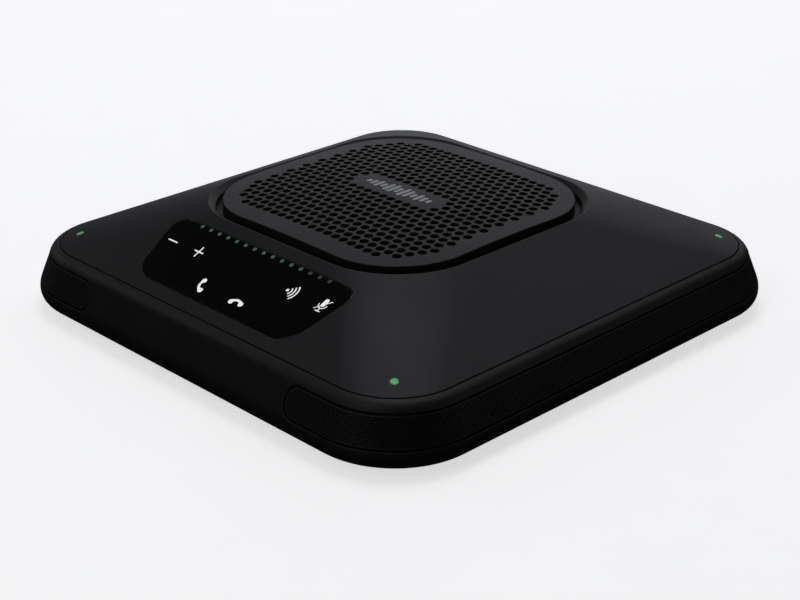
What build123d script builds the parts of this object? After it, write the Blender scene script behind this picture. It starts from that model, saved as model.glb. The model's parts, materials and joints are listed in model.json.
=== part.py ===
from build123d import *
from math import atan2, cos, degrees, hypot, radians, sin, tan
import os

# Conference speakerphone, millimetres. The origin is on the table under the middle of the
# housing, +Z is up and -Y is the side with the touch panel.
# The plan is a rounded square. Every outline of the side wall shares its corner centres, so a
# wall section can be carried round the square by four straight runs and four quarter turns.

# ---- Housing
HALF_WIDTH = 120.0  # at the widest height of the side wall
CORNER_AT = 82.5  # corner centres of the side wall, along X and Y
BASE_Z = 2.0  # underside of the housing, above the table
WIDEST_Z = 8.6
BASE_CURVE_W = 7.0  # the base rolls in under the widest line
WALL_CURVE_R = 11.7
WALL_LEAN = 22.0  # degrees from upright
WALL_LEAN_END_Z = 23.7
SHOULDER_R = 6.0
SEAM_HALF = 110.4  # inner edge of the frame, where the top cover drops in
LEDGE_Z = 25.4

# ---- Top cover
COVER_HALF = 110.0
COVER_EDGE_Z = 27.6
COVER_CORNER_R = COVER_HALF - CORNER_AT
LIP_HALF = 67.5
LIP_CORNER_R = 36.7
LIP_Z = 46.7
COVER_T = 2.2
RECESS_HALF = 64.6
RECESS_CORNER_R = 34.0
RECESS_Z = 42.2
RECESS_FLOOR_T = 2.2
SPEAKER_OPENING_R = 47.0

# ---- Speaker grille
GRILLE_HALF = 62.9
GRILLE_CORNER_R = 35.4
GRILLE_TOP_Z = 50.2
GRILLE_DOME_R = 970.0
DOME_CENTRE_Z = GRILLE_TOP_Z - GRILLE_DOME_R
GRILLE_T = 1.6
GRILLE_RIM = 2.0
CLOTH_T = 0.4
HOLE_R = 1.88
HOLE_PITCH = 4.63
HOLE_ROWS = 11  # rows each side of the middle row
FIELD_HALF_X = 54.4
FIELD_HALF_Y = 52.0
FIELD_CORNER_R = 16.8
BADGE_HALF = 5.25 * HOLE_PITCH  # the blank bar in the middle of the grille
BADGE_ROWS = 1

# ---- Side mesh, one strip round each side, ending on the front and the rear
MESH_END_X = 61.2
MESH_LOW_Z = 11.5
MESH_HIGH_Z = 23.2
MESH_END_R = 5.4
MESH_T = 1.0
LINING_T = 0.4
CHANNEL_DEPTH = 1.65
CHANNEL_GAP = 0.5

# ---- Touch panel, drawn on the front slope, with v up the slope from the cover's edge
PANEL_LOW_V = 6.3
PANEL_HIGH_V = 40.3
PANEL_LOW_HALF = 46.2
PANEL_HIGH_HALF = 55.1
PANEL_LOW_R = 10.8
PANEL_HIGH_R = 5.4
PANEL_T = 1.25
POCKET_DEPTH = 1.3
PANEL_GAP = 0.15
PANEL_LEDGE = 3.0
DOT_COUNT = 15
DOT_PITCH = 5.46
DOT_V = 38.9
KEY_PLACES = [(-43.4, 27.0), (-27.1, 27.0), (29.6, 27.0), (46.4, 27.0), (-10.8, 13.4), (11.3, 13.4)]
MASK_T = 1.5
BOARD_T = 1.0

# ---- Corners: indicator, microphone
INDICATOR_AT = 96.2
INDICATOR_R = 1.6
CORNER_BOARD_AT = 92.5
CORNER_BOARD_Z = 21.0
MIC_Z = 16.5
MIC_BOOT_R = 4.2
MIC_R = 3.0

# ---- Bottom cover
BOTTOM_HALF = 106.3
BOTTOM_T = 2.4
BOTTOM_TOP_Z = BASE_Z + BOTTOM_T
FOOT_AT = 88.0
FOOT_R = 10.0
FOOT_SINK = 1.0
CASE_SCREW_X = 92.0
CASE_SCREW_Y = 52.0
PILLAR_TOP_Z = 12.4
SCREW_R = 1.5

# ---- Loudspeaker
BOX_HALF = 58.0
BOX_LOW_Z = 4.6
BOX_T = 2.0
FLANGE_HALF = 52.0
FLANGE_CORNER_R = 16.0
FLANGE_LOW_Z = 37.4
FLANGE_HIGH_Z = 38.8
SPEAKER_SCREW_AT = 44.0
CONE_R = 38.0
ROLL_R = 3.8
ROLL_T = 0.5
COIL_R = 12.8
YOKE_LOW_Z = 7.4
MAGNET_LOW_Z = 11.0
PLATE_LOW_Z = 17.0
PLATE_HIGH_Z = 20.6
SPIDER_Z = 25.0

# ---- Electronics and rear ports
BATTERY_Y = -81.0
MAIN_BOARD_Z = 9.4
MAIN_BOARD_T = 1.6
MAIN_BOARD_TOP_Z = MAIN_BOARD_Z + MAIN_BOARD_T
MAIN_BOARD_X = 144.0
MAIN_BOARD_Y = 44.0
MAIN_BOARD_AT = 84.0
BOARD_SCREW_X = 67.0
BOARD_SCREW_Y = 14.0
PORT_FACE_Y = 112.0
PORT_PANEL_T = 2.0
PORT_WINDOW_HALF = 44.0
PORT_WINDOW_LOW_Z = 10.6
PORT_WINDOW_HIGH_Z = 20.2
USB_X = 6.0
USB_Z = MAIN_BOARD_TOP_Z + 1.65
AUX_X = -12.0
AUX_Z = MAIN_BOARD_TOP_Z + 2.8
AUX_BORE_R = 1.8
DC_X = 28.0
DC_Z = MAIN_BOARD_TOP_Z + 4.5
BUTTON_X = -30.0
BUTTON_Z = 15.4
BUTTON_R = 4.0
BUTTON_GAP = 0.1

CORNERS = {
    "front_left": (-1, -1),
    "front_right": (1, -1),
    "rear_right": (1, 1),
    "rear_left": (-1, 1),
}
SIDES = {"left": -1, "right": 1}

os.makedirs("parts", exist_ok=True)


def save(part, name, surface_curves=True):
    """Labels a finished piece and writes it as its own file."""
    part.label = name
    export_step(part, f"parts/{name}.step", write_pcurves=surface_curves)


def corner_angle(sign_x, sign_y):
    """Direction from the middle of the housing to a corner, in degrees."""
    return degrees(atan2(sign_y, sign_x))


# ---------------------------------------------------------------- side frame


def wall_half(z):
    """Half-width of the outer side wall at height z, between the widest line and the shoulder."""
    lean = radians(WALL_LEAN)
    curve_top_z = WIDEST_Z + WALL_CURVE_R * sin(lean)
    curve_half = HALF_WIDTH - WALL_CURVE_R * (1 - cos(lean))
    if z < curve_top_z:
        rise = z - WIDEST_Z
        return HALF_WIDTH - WALL_CURVE_R + (WALL_CURVE_R**2 - rise**2) ** 0.5
    return curve_half - (z - curve_top_z) * tan(lean)


def round_the_square(section):
    """Carries a section, drawn on the XZ plane on the +X side, once round the rounded square."""
    with BuildPart() as quarter:
        with BuildSketch(Plane.XZ):
            add(section)
        extrude(amount=CORNER_AT, both=True)
        with BuildSketch(Plane.XZ.offset(-CORNER_AT)):
            add(section)
        revolve(axis=Axis((CORNER_AT, CORNER_AT, 0), (0, 0, 1)), revolution_arc=90)
    with BuildPart() as ring:
        with PolarLocations(0, 4):
            add(quarter.part)
    return ring.part


with BuildSketch() as frame_section:
    with BuildLine():
        base = EllipticalCenterArc(
            (HALF_WIDTH - BASE_CURVE_W, WIDEST_Z),
            BASE_CURVE_W,
            WIDEST_Z - BASE_Z,
            start_angle=270,
            arc_size=90,
        )
        belly = JernArc(base @ 1, (0, 1), WALL_CURVE_R, WALL_LEAN)
        wall_rise = WALL_LEAN_END_Z - (belly @ 1).Y
        wall = PolarLine(belly @ 1, wall_rise / cos(radians(WALL_LEAN)), 90 + WALL_LEAN)
        deck_slope = degrees(atan2(LIP_Z - COVER_EDGE_Z, COVER_HALF - LIP_HALF))
        shoulder = JernArc(wall @ 1, wall % 1, SHOULDER_R, 90 - WALL_LEAN - deck_slope)
        seam_z = (shoulder @ 1).Y + ((shoulder @ 1).X - SEAM_HALF) * tan(radians(deck_slope))
        Polyline(
            shoulder @ 1,
            (SEAM_HALF, seam_z),
            (SEAM_HALF, LEDGE_Z),
            (SEAM_HALF - 3.6, LEDGE_Z),
            (SEAM_HALF - 3.6, LEDGE_Z - 2.2),
            (112.2, 20.6),
            (115.6, 11.8),
            (112.8, 6.6),
            (103.0, 6.6),
            (103.0, BOTTOM_TOP_Z + 0.1),
            (BOTTOM_HALF + 0.3, BOTTOM_TOP_Z + 0.1),
            (BOTTOM_HALF + 0.3, BASE_Z),
            base @ 0,
        )
    make_face()


def wall_strip(depth, thickness, low_z, high_z):
    """Section of a strip that follows the leaning side wall, a given depth under its surface."""
    heights = [low_z, WIDEST_Z + WALL_CURVE_R * sin(radians(WALL_LEAN)), high_z]
    outside = [(wall_half(z) - depth, z) for z in heights]
    inside = [(x - thickness, z) for x, z in reversed(outside)]
    with BuildSketch() as strip:
        with BuildLine():
            Polyline(*outside, *inside, close=True)
        make_face()
    return strip.sketch


def side_reach(grow):
    """Block that keeps a wall strip on the right side and rounds its ends on the front and the rear."""
    low_z = MESH_LOW_Z - grow
    high_z = MESH_HIGH_Z + grow
    inner_x = MESH_END_X - grow
    length = HALF_WIDTH + 10 - inner_x
    middle = Plane.XZ * Location((inner_x + length / 2, (low_z + high_z) / 2, 0))
    with BuildPart() as reach:
        with BuildSketch(middle):
            RectangleRounded(length, high_z - low_z, MESH_END_R + grow)
        extrude(amount=HALF_WIDTH + 10, both=True)
    return reach.part


def one_side(ring, side, grow):
    """The stretch of a wall strip on one side of the object; the left one mirrors the right one."""
    with BuildPart() as strip:
        add(ring)
        add(side_reach(grow), mode=Mode.INTERSECT)
    return strip.part if side > 0 else strip.part.mirror(Plane.YZ)


channel_ring = round_the_square(
    wall_strip(-5.0, CHANNEL_DEPTH + 5.0, MESH_LOW_Z - CHANNEL_GAP, MESH_HIGH_Z + CHANNEL_GAP)
)
mesh_ring = round_the_square(wall_strip(0.1, MESH_T, MESH_LOW_Z, MESH_HIGH_Z))
lining_ring = round_the_square(wall_strip(0.15 + MESH_T, LINING_T, MESH_LOW_Z, MESH_HIGH_Z))

with BuildPart() as side_frame:
    add(round_the_square(frame_section.sketch))
    # A box stands round the port window, from the wall in to the port panel.
    with BuildSketch(Plane.YZ):
        Polygon((PORT_FACE_Y, 8.0), (117.6, 8.0), (115.2, 21.4), (PORT_FACE_Y, 21.4), align=None)
    extrude(amount=PORT_WINDOW_HALF + 3, both=True)
    window = Plane.XZ * Location((0, (PORT_WINDOW_LOW_Z + PORT_WINDOW_HIGH_Z) / 2, 0))
    with BuildSketch(window):
        RectangleRounded(2 * PORT_WINDOW_HALF, PORT_WINDOW_HIGH_Z - PORT_WINDOW_LOW_Z, 3.0)
    extrude(amount=-HALF_WIDTH - 1, mode=Mode.SUBTRACT)
    for side in SIDES.values():
        add(one_side(channel_ring, side, CHANNEL_GAP), mode=Mode.SUBTRACT)
    # A sound port for the microphone goes through the wall behind the mesh at each corner.
    with PolarLocations(0, 4, start_angle=45):
        with Locations(Location((hypot(CORNER_AT, CORNER_AT) + 32, 0, MIC_Z), (0, 90, 0))):
            Cylinder(1.1, 14, mode=Mode.SUBTRACT)
save(side_frame.part, "side_frame")

for name, side in SIDES.items():
    for kind, ring in {"side_mesh": mesh_ring, "mesh_lining": lining_ring}.items():
        save(one_side(ring, side, 0), f"{kind}_{name}")

# ---------------------------------------------------------------- top cover

deck_front = Plane(
    origin=(0, -COVER_HALF, COVER_EDGE_Z),
    x_dir=(1, 0, 0),
    z_dir=(0, -sin(radians(deck_slope)), cos(radians(deck_slope))),
)
under_deck = COVER_T / cos(radians(deck_slope))


def rounded_square(z, half, radius):
    """Rounded-square face at height z."""
    with BuildSketch(Plane.XY.offset(z)) as outline:
        RectangleRounded(2 * half, 2 * half, radius)
    return outline.sketch


def panel_outline(plane, grow):
    """Touch panel's outline on a plane along the front slope, grown by a distance."""
    with BuildSketch(plane) as outline:
        Polygon(
            (-PANEL_LOW_HALF, PANEL_LOW_V),
            (PANEL_LOW_HALF, PANEL_LOW_V),
            (PANEL_HIGH_HALF, PANEL_HIGH_V),
            (-PANEL_HIGH_HALF, PANEL_HIGH_V),
            align=None,
        )
        fillet(outline.vertices().sort_by(Axis.Y)[:2], PANEL_LOW_R)
        fillet(outline.vertices().sort_by(Axis.Y)[-2:], PANEL_HIGH_R)
        if grow:
            offset(amount=grow)
    return outline.sketch


with BuildPart() as deck_envelope:
    add(rounded_square(COVER_EDGE_Z, COVER_HALF, COVER_CORNER_R))
    add(rounded_square(LIP_Z, LIP_HALF, LIP_CORNER_R))
    loft()
    add(rounded_square(LEDGE_Z, COVER_HALF, COVER_CORNER_R))
    extrude(amount=COVER_EDGE_Z - LEDGE_Z)



def panel_prism(grow):
    """Block of the panel's outline that goes right through the front slope."""
    with BuildPart() as prism:
        add(panel_outline(deck_front.offset(-10), grow))
        extrude(amount=20)
    return prism.part


def above_deck(grow, depth):
    """What is left of the prism above a surface that follows the deck, a depth under it."""
    with BuildPart() as block:
        add(panel_prism(grow))
        with Locations((0, 0, -depth / cos(radians(deck_slope)))):
            add(deck_envelope.part, mode=Mode.SUBTRACT)
        split(bisect_by=deck_front.offset(-6), keep=Keep.TOP)
    return block.part


def deck_layer(grow, depth, thickness):
    """Slab of the panel's outline that follows the deck, from a depth under its surface."""
    with BuildPart() as layer:
        add(above_deck(grow, depth + thickness))
        with Locations((0, 0, -depth / cos(radians(deck_slope)))):
            add(deck_envelope.part, mode=Mode.INTERSECT)
    return layer.part


cavity_low_half = COVER_HALF - COVER_T
cavity_low_z = COVER_EDGE_Z + COVER_T * tan(radians(deck_slope)) - under_deck
cavity_high_half = LIP_HALF + 1.3
cavity_high_z = LIP_Z - 1.3 * tan(radians(deck_slope)) - under_deck
case_screw_places = [(x, y) for x in (-CASE_SCREW_X, CASE_SCREW_X) for y in (-CASE_SCREW_Y, CASE_SCREW_Y)]
indicator_places = [(x * INDICATOR_AT, y * INDICATOR_AT) for x, y in CORNERS.values()]
board_post_places = [
    (x * (CORNER_BOARD_AT + turn * 5), y * (CORNER_BOARD_AT - turn * 5))
    for x, y in CORNERS.values()
    for turn in (-1, 1)
]

with BuildPart() as deck_cavity:
    add(rounded_square(cavity_low_z, cavity_low_half, cavity_low_half - CORNER_AT))
    add(rounded_square(cavity_high_z, cavity_high_half, LIP_CORNER_R + 1.3))
    loft()
    add(rounded_square(LEDGE_Z - 1, cavity_low_half, cavity_low_half - CORNER_AT))
    extrude(amount=cavity_low_z - LEDGE_Z + 1)
    # Posts and light guides are left standing in the cavity, so they reach the deck.
    for places, radius in (
        (case_screw_places, 4.0),
        (indicator_places, 2.8),
        (board_post_places, 1.5),
    ):
        with Locations(*[(x, y, cavity_high_z) for x, y in places]):
            Cylinder(radius, 60, mode=Mode.SUBTRACT)

with BuildPart() as top_cover:
    add(deck_envelope.part)
    add(deck_cavity.part, mode=Mode.SUBTRACT)
    # The recess for the grille is a shallow tray with a sloping wall.
    add(rounded_square(RECESS_Z - RECESS_FLOOR_T, RECESS_HALF + 2.2, RECESS_CORNER_R + 2.2))
    extrude(amount=cavity_high_z + 0.6 - RECESS_Z + RECESS_FLOOR_T)
    add(rounded_square(RECESS_Z, RECESS_HALF, RECESS_CORNER_R))
    add(rounded_square(LIP_Z, LIP_HALF - 0.4, LIP_CORNER_R - 0.4))
    loft(mode=Mode.SUBTRACT)
    for places, low_z, radius in (
        (case_screw_places, PILLAR_TOP_Z, 4.0),
        (indicator_places, 24.6, 2.8),
        (board_post_places, CORNER_BOARD_Z + 1.2, 1.5),
    ):
        with Locations(*[(x, y, low_z) for x, y in places]):
            Cylinder(radius, LEDGE_Z - low_z + 1, align=(Align.CENTER, Align.CENTER, Align.MIN))
    with Locations(*[(x, y, PILLAR_TOP_Z) for x, y in case_screw_places]):
        Cylinder(SCREW_R + 0.1, 12, align=(Align.CENTER, Align.CENTER, Align.MIN), mode=Mode.SUBTRACT)
    with Locations(*[(x, y, LEDGE_Z) for x, y in indicator_places]):
        Cylinder(INDICATOR_R + 0.1, 20, mode=Mode.SUBTRACT)
    with Locations((0, 0, RECESS_Z)):
        Cylinder(SPEAKER_OPENING_R, 10, mode=Mode.SUBTRACT)
    with Locations((0, 0, RECESS_Z)):
        with GridLocations(2 * SPEAKER_SCREW_AT, 2 * SPEAKER_SCREW_AT, 2, 2):
            Cylinder(SCREW_R + 0.2, 10, mode=Mode.SUBTRACT)
    # The touch panel lies in a pocket, over a window for its board.
    add(above_deck(PANEL_GAP, POCKET_DEPTH), mode=Mode.SUBTRACT)
    add(panel_prism(-PANEL_LEDGE), mode=Mode.SUBTRACT)
save(top_cover.part, "top_cover")

with BuildPart() as below_deck:
    add(deck_envelope.part)
    add(rounded_square(20, COVER_HALF, COVER_CORNER_R))
    extrude(amount=LEDGE_Z - 20)

for name, (x, y) in CORNERS.items():
    with BuildPart() as light_pipe:
        with Locations((x * INDICATOR_AT, y * INDICATOR_AT, 24.6)):
            Cylinder(INDICATOR_R, 12, align=(Align.CENTER, Align.CENTER, Align.MIN))
        add(below_deck.part, mode=Mode.INTERSECT)
    save(light_pipe.part, f"light_pipe_{name}")

# ---------------------------------------------------------------- speaker grille


def hole_places():
    """Grille holes: staggered rows inside a rounded rectangle, without the blank badge bar."""
    places = []
    for row in range(-HOLE_ROWS, HOLE_ROWS + 1):
        y = row * HOLE_PITCH
        for column in range(-12, 13):
            x = (column + 0.5 * (row % 2)) * HOLE_PITCH
            past_x = abs(x) - (FIELD_HALF_X - FIELD_CORNER_R)
            past_y = abs(y) - (FIELD_HALF_Y - FIELD_CORNER_R)
            in_field = abs(x) <= FIELD_HALF_X and abs(y) <= FIELD_HALF_Y
            in_corner = past_x <= 0 or past_y <= 0 or hypot(past_x, past_y) <= FIELD_CORNER_R
            in_badge = abs(x) < BADGE_HALF and abs(row) <= BADGE_ROWS
            if in_field and in_corner and not in_badge:
                places.append((x, y))
    return places


def under_dome(depth, low_z, half, radius):
    """Rounded-square block from low_z up to a sphere that lies a depth under the grille's top."""
    with BuildPart() as block:
        add(rounded_square(low_z, half, radius))
        extrude(amount=GRILLE_TOP_Z - low_z + 1)
        with Locations((0, 0, DOME_CENTRE_Z)):
            Sphere(GRILLE_DOME_R - depth, mode=Mode.INTERSECT)
    return block.part


with BuildPart() as speaker_grille:
    add(under_dome(0, RECESS_Z, GRILLE_HALF, GRILLE_CORNER_R))
    fillet(speaker_grille.faces().sort_by(Axis.Z)[-1].outer_wire().edges(), 0.4)
    inner_half = GRILLE_HALF - GRILLE_RIM
    inner_r = GRILLE_CORNER_R - GRILLE_RIM
    add(under_dome(GRILLE_T, RECESS_Z, inner_half, inner_r), mode=Mode.SUBTRACT)
    # Each hole stands square to the dome, as in a sheet that was punched flat and then pressed.
    hole_planes = []
    for x, y in hole_places():
        outward = Vector(x, y, GRILLE_DOME_R).normalized()
        start = Vector(0, 0, DOME_CENTRE_Z) + outward * (GRILLE_DOME_R - 2 * GRILLE_T)
        hole_planes.append(Plane(origin=start, z_dir=outward))
    with BuildSketch(*hole_planes):
        Circle(HOLE_R)
    extrude(amount=3 * GRILLE_T, mode=Mode.SUBTRACT)
# Left out of this file, the curves on the surfaces would be two thirds of its size.
save(speaker_grille.part, "speaker_grille", surface_curves=False)

with BuildPart() as grille_cloth:
    cloth_half = inner_half - 0.5
    cloth_r = inner_r - 0.5
    add(under_dome(GRILLE_T + 0.05, RECESS_Z + 2, cloth_half, cloth_r))
    add(under_dome(GRILLE_T + 0.05 + CLOTH_T, RECESS_Z + 1, cloth_half + 1, cloth_r + 1), mode=Mode.SUBTRACT)
save(grille_cloth.part, "grille_cloth")

# ---------------------------------------------------------------- touch panel

# The dots are near the panel's upper edge, so their diodes sit a little lower, inside the window.
DIODE_V = DOT_V - 3.4
dot_places = [((i - (DOT_COUNT - 1) / 2) * DOT_PITCH, DIODE_V) for i in range(DOT_COUNT)]

with BuildPart() as touch_panel:
    add(deck_layer(0, 0, PANEL_T))
save(touch_panel.part, "touch_panel")

with BuildPart() as light_mask:
    add(deck_layer(-PANEL_LEDGE - 0.3, POCKET_DEPTH, MASK_T))
    with BuildSketch(deck_front):
        with Locations(*dot_places):
            Circle(1.2)
        with Locations(*KEY_PLACES):
            Circle(3.6)
    extrude(amount=-POCKET_DEPTH - 2 * MASK_T, mode=Mode.SUBTRACT)
save(light_mask.part, "light_mask")

board_depth = POCKET_DEPTH + MASK_T + 0.05
with BuildPart() as touch_board:
    add(deck_layer(-PANEL_LEDGE - 0.3, board_depth, BOARD_T))
save(touch_board.part, "touch_board")

# A light-emitting diode stands on the board under each dot and each key.
with BuildPart() as touch_leds:
    with BuildSketch(deck_front.offset(-board_depth)):
        with Locations(*dot_places, *KEY_PLACES):
            Rectangle(1.6, 0.8)
    extrude(amount=0.6)
save(touch_leds.part, "touch_leds")

# ---------------------------------------------------------------- corners

for name, (x, y) in CORNERS.items():
    outward = Location((x * CORNER_AT, y * CORNER_AT, 0), (0, 0, corner_angle(x, y)))
    board_along = (CORNER_BOARD_AT - CORNER_AT) * 2**0.5
    indicator_along = (INDICATOR_AT - CORNER_AT) * 2**0.5

    with BuildPart() as corner_board:
        with Locations(outward * Location((board_along, 0, CORNER_BOARD_Z))):
            Box(16, 16, 1.2, align=(Align.CENTER, Align.CENTER, Align.MIN))
        with Locations(outward * Location((indicator_along, 0, CORNER_BOARD_Z + 1.2))):
            Box(2, 2, 1, align=(Align.CENTER, Align.CENTER, Align.MIN))
        with Locations(outward * Location((board_along - 5, 0, CORNER_BOARD_Z - 3))):
            Box(3, 7, 3, align=(Align.CENTER, Align.CENTER, Align.MIN))
    save(corner_board.part, f"corner_board_{name}")

    with BuildPart() as mic_boot:
        with Locations(outward * Location((20.5, 0, MIC_Z), (0, 90, 0))):
            Cylinder(MIC_BOOT_R, 11, align=(Align.CENTER, Align.CENTER, Align.MIN))
            Cylinder(MIC_R, 5.7, align=(Align.CENTER, Align.CENTER, Align.MIN), mode=Mode.SUBTRACT)
            Cylinder(1.1, 12, align=(Align.CENTER, Align.CENTER, Align.MIN), mode=Mode.SUBTRACT)
        add(side_frame.part, mode=Mode.SUBTRACT)
    save(mic_boot.part, f"mic_boot_{name}")

    with BuildPart() as mic_capsule:
        with Locations(outward * Location((23.4, 0, MIC_Z), (0, 90, 0))):
            Cylinder(MIC_R - 0.05, 2.7, align=(Align.CENTER, Align.CENTER, Align.MIN))
    save(mic_capsule.part, f"mic_capsule_{name}")

# ---------------------------------------------------------------- bottom cover, feet, screws

foot_places = {name: (x * FOOT_AT, y * FOOT_AT) for name, (x, y) in CORNERS.items()}
board_screw_places = [
    (x, MAIN_BOARD_AT + y) for x in (-BOARD_SCREW_X, BOARD_SCREW_X) for y in (-BOARD_SCREW_Y, BOARD_SCREW_Y)
]
HEAD_SEAT_Z = 6.5
UP = (Align.CENTER, Align.CENTER, Align.MIN)

with BuildPart() as bottom_cover:
    add(rounded_square(BASE_Z, BOTTOM_HALF, BOTTOM_HALF - CORNER_AT))
    extrude(amount=BOTTOM_T)
    with Locations(*[(x, y, BASE_Z) for x, y in case_screw_places]):
        Cylinder(4.8, PILLAR_TOP_Z - BASE_Z, align=UP)
        Cylinder(3.2, HEAD_SEAT_Z - BASE_Z, align=UP, mode=Mode.SUBTRACT)
        Cylinder(SCREW_R + 0.2, 20, align=UP, mode=Mode.SUBTRACT)
    with Locations(*[(x, y, BOTTOM_TOP_Z) for x, y in board_screw_places]):
        Cylinder(3.5, MAIN_BOARD_Z - BOTTOM_TOP_Z, align=UP)
        Cylinder(SCREW_R, 10, align=UP, mode=Mode.SUBTRACT)
    with Locations(*[(x, y, BASE_Z) for x, y in foot_places.values()]):
        Cylinder(FOOT_R + 0.2, FOOT_SINK, align=UP, mode=Mode.SUBTRACT)
    # Ribs keep the battery pack in place.
    with BuildSketch(Plane.XY.offset(BOTTOM_TOP_Z)):
        with Locations((0, BATTERY_Y)):
            Rectangle(98, 42)
            Rectangle(94, 38, mode=Mode.SUBTRACT)
            Rectangle(60, 60, mode=Mode.SUBTRACT)
    extrude(amount=5)
save(bottom_cover.part, "bottom_cover")

for name, (x, y) in foot_places.items():
    with BuildPart() as foot:
        with Locations((x, y, 0)):
            Cylinder(FOOT_R, BASE_Z + FOOT_SINK, align=UP)
        fillet(foot.edges().group_by(Axis.Z)[0], 0.8)
    save(foot.part, f"foot_{name}")


def screws(places, head_z, head_r, head_h, length, pointing):
    """Group of screws with round heads. pointing is 1 with the tip up and -1 with the tip down."""
    with BuildPart() as group:
        for x, y in places:
            facing = Plane(origin=(x, y, head_z), z_dir=(0, 0, pointing))
            with Locations(facing):
                Cylinder(head_r, head_h, align=(Align.CENTER, Align.CENTER, Align.MAX))
                Cylinder(SCREW_R, length, align=UP)
            with Locations(facing.offset(-head_h)):
                Cylinder(head_r * 0.4, head_h * 0.5, align=UP, mode=Mode.SUBTRACT)
    return group.part


save(screws(case_screw_places, HEAD_SEAT_Z, 2.8, 2.2, 16, 1), "case_screws")
save(screws(board_screw_places, MAIN_BOARD_TOP_Z, 2.8, 1.6, 5, -1), "board_screws")

# ---------------------------------------------------------------- loudspeaker

speaker_screw_places = [
    (x * SPEAKER_SCREW_AT, y * SPEAKER_SCREW_AT) for x, y in CORNERS.values()
]
save(screws(speaker_screw_places, RECESS_Z, 2.8, 1.8, 12, -1), "speaker_screws")

with BuildPart() as speaker_box:
    add(rounded_square(BOX_LOW_Z, BOX_HALF, 20))
    extrude(amount=RECESS_Z - RECESS_FLOOR_T - BOX_LOW_Z)
    add(rounded_square(BOX_LOW_Z + BOX_T, BOX_HALF - BOX_T, 18))
    extrude(amount=40, mode=Mode.SUBTRACT)
    with Locations(*[(x, y, BOX_LOW_Z) for x, y in speaker_screw_places]):
        Cylinder(4, FLANGE_LOW_Z - BOX_LOW_Z, align=UP)
    with Locations(*[(x, y, RECESS_Z - 13) for x, y in speaker_screw_places]):
        Cylinder(SCREW_R + 0.1, 20, align=UP, mode=Mode.SUBTRACT)
    # The speaker's leads leave through the rear wall.
    with Locations(Location((20, BOX_HALF, 14), (90, 0, 0))):
        Cylinder(1.6, 10, mode=Mode.SUBTRACT)
save(speaker_box.part, "speaker_box")

with BuildPart() as speaker_gasket:
    add(rounded_square(FLANGE_HIGH_Z, FLANGE_HALF, FLANGE_CORNER_R))
    extrude(amount=RECESS_Z - RECESS_FLOOR_T - FLANGE_HIGH_Z)
    Cylinder(50.4, 200, mode=Mode.SUBTRACT)
    with Locations(*[(x, y, FLANGE_HIGH_Z) for x, y in speaker_screw_places]):
        Cylinder(SCREW_R + 0.2, 10, mode=Mode.SUBTRACT)
save(speaker_gasket.part, "speaker_gasket")

with BuildPart() as speaker_basket:
    with BuildSketch(Plane.XZ):
        Polygon(
            (16.0, PLATE_HIGH_Z),
            (27.6, PLATE_HIGH_Z),
            (29.4, 23.6),
            (31.8, 23.6),
            (47.4, FLANGE_LOW_Z),
            (47.4, FLANGE_HIGH_Z),
            (45.8, FLANGE_HIGH_Z),
            (45.8, 37.9),
            (30.6, SPIDER_Z),
            (28.2, SPIDER_Z),
            (26.4, 22.0),
            (16.0, 22.0),
            align=None,
        )
    revolve(axis=Axis.Z)
    with PolarLocations(38.6, 6):
        with Locations((0, 0, 31)):
            Box(16, 22, 7.5, mode=Mode.SUBTRACT)
    with BuildSketch(Plane.XY.offset(FLANGE_LOW_Z)):
        RectangleRounded(2 * FLANGE_HALF, 2 * FLANGE_HALF, FLANGE_CORNER_R)
        Circle(45.8, mode=Mode.SUBTRACT)
        with Locations(*speaker_screw_places):
            Circle(SCREW_R + 0.2, mode=Mode.SUBTRACT)
    extrude(amount=FLANGE_HIGH_Z - FLANGE_LOW_Z)
save(speaker_basket.part, "speaker_basket")

with BuildPart() as speaker_yoke:
    with Locations((0, 0, YOKE_LOW_Z)):
        Cylinder(27, MAGNET_LOW_Z - YOKE_LOW_Z, align=UP)
        Cylinder(COIL_R - 1.0, PLATE_HIGH_Z - YOKE_LOW_Z, align=UP)
        Cylinder(3, 30, align=UP, mode=Mode.SUBTRACT)
save(speaker_yoke.part, "speaker_yoke")

with BuildPart() as speaker_magnet:
    with Locations((0, 0, MAGNET_LOW_Z)):
        Cylinder(30, PLATE_LOW_Z - MAGNET_LOW_Z, align=UP)
        Cylinder(16, 30, align=UP, mode=Mode.SUBTRACT)
    fillet(speaker_magnet.edges().filter_by(GeomType.CIRCLE).sort_by(SortBy.RADIUS)[-2:], 0.8)
save(speaker_magnet.part, "speaker_magnet")

with BuildPart() as speaker_top_plate:
    with Locations((0, 0, PLATE_LOW_Z)):
        Cylinder(27, PLATE_HIGH_Z - PLATE_LOW_Z, align=UP)
        Cylinder(COIL_R + 1.2, 30, align=UP, mode=Mode.SUBTRACT)
save(speaker_top_plate.part, "speaker_top_plate")

COIL_LOW_Z = 14.8
NECK_Z = 26.6
RIM_Z = 38.2

with BuildPart() as voice_coil:
    with BuildSketch(Plane.XZ):
        Polygon(
            (COIL_R - 0.4, COIL_LOW_Z),
            (COIL_R + 0.6, COIL_LOW_Z),
            (COIL_R + 0.6, COIL_LOW_Z + 7),
            (COIL_R, COIL_LOW_Z + 7),
            (COIL_R, NECK_Z + 0.6),
            (COIL_R - 0.4, NECK_Z + 0.6),
            align=None,
        )
    revolve(axis=Axis.Z)
save(voice_coil.part, "voice_coil")

with BuildPart() as speaker_cone:
    with BuildSketch(Plane.XZ):
        Polygon(
            (COIL_R, NECK_Z),
            (CONE_R - 2.2, RIM_Z),
            (CONE_R, RIM_Z),
            (CONE_R, RIM_Z + 0.6),
            (CONE_R - 2.5, RIM_Z + 0.6),
            (COIL_R, NECK_Z + 0.7),
            align=None,
        )
    revolve(axis=Axis.Z)
save(speaker_cone.part, "speaker_cone")

CAP_R = 26.0
CAP_CENTRE_Z = 6.8

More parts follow.
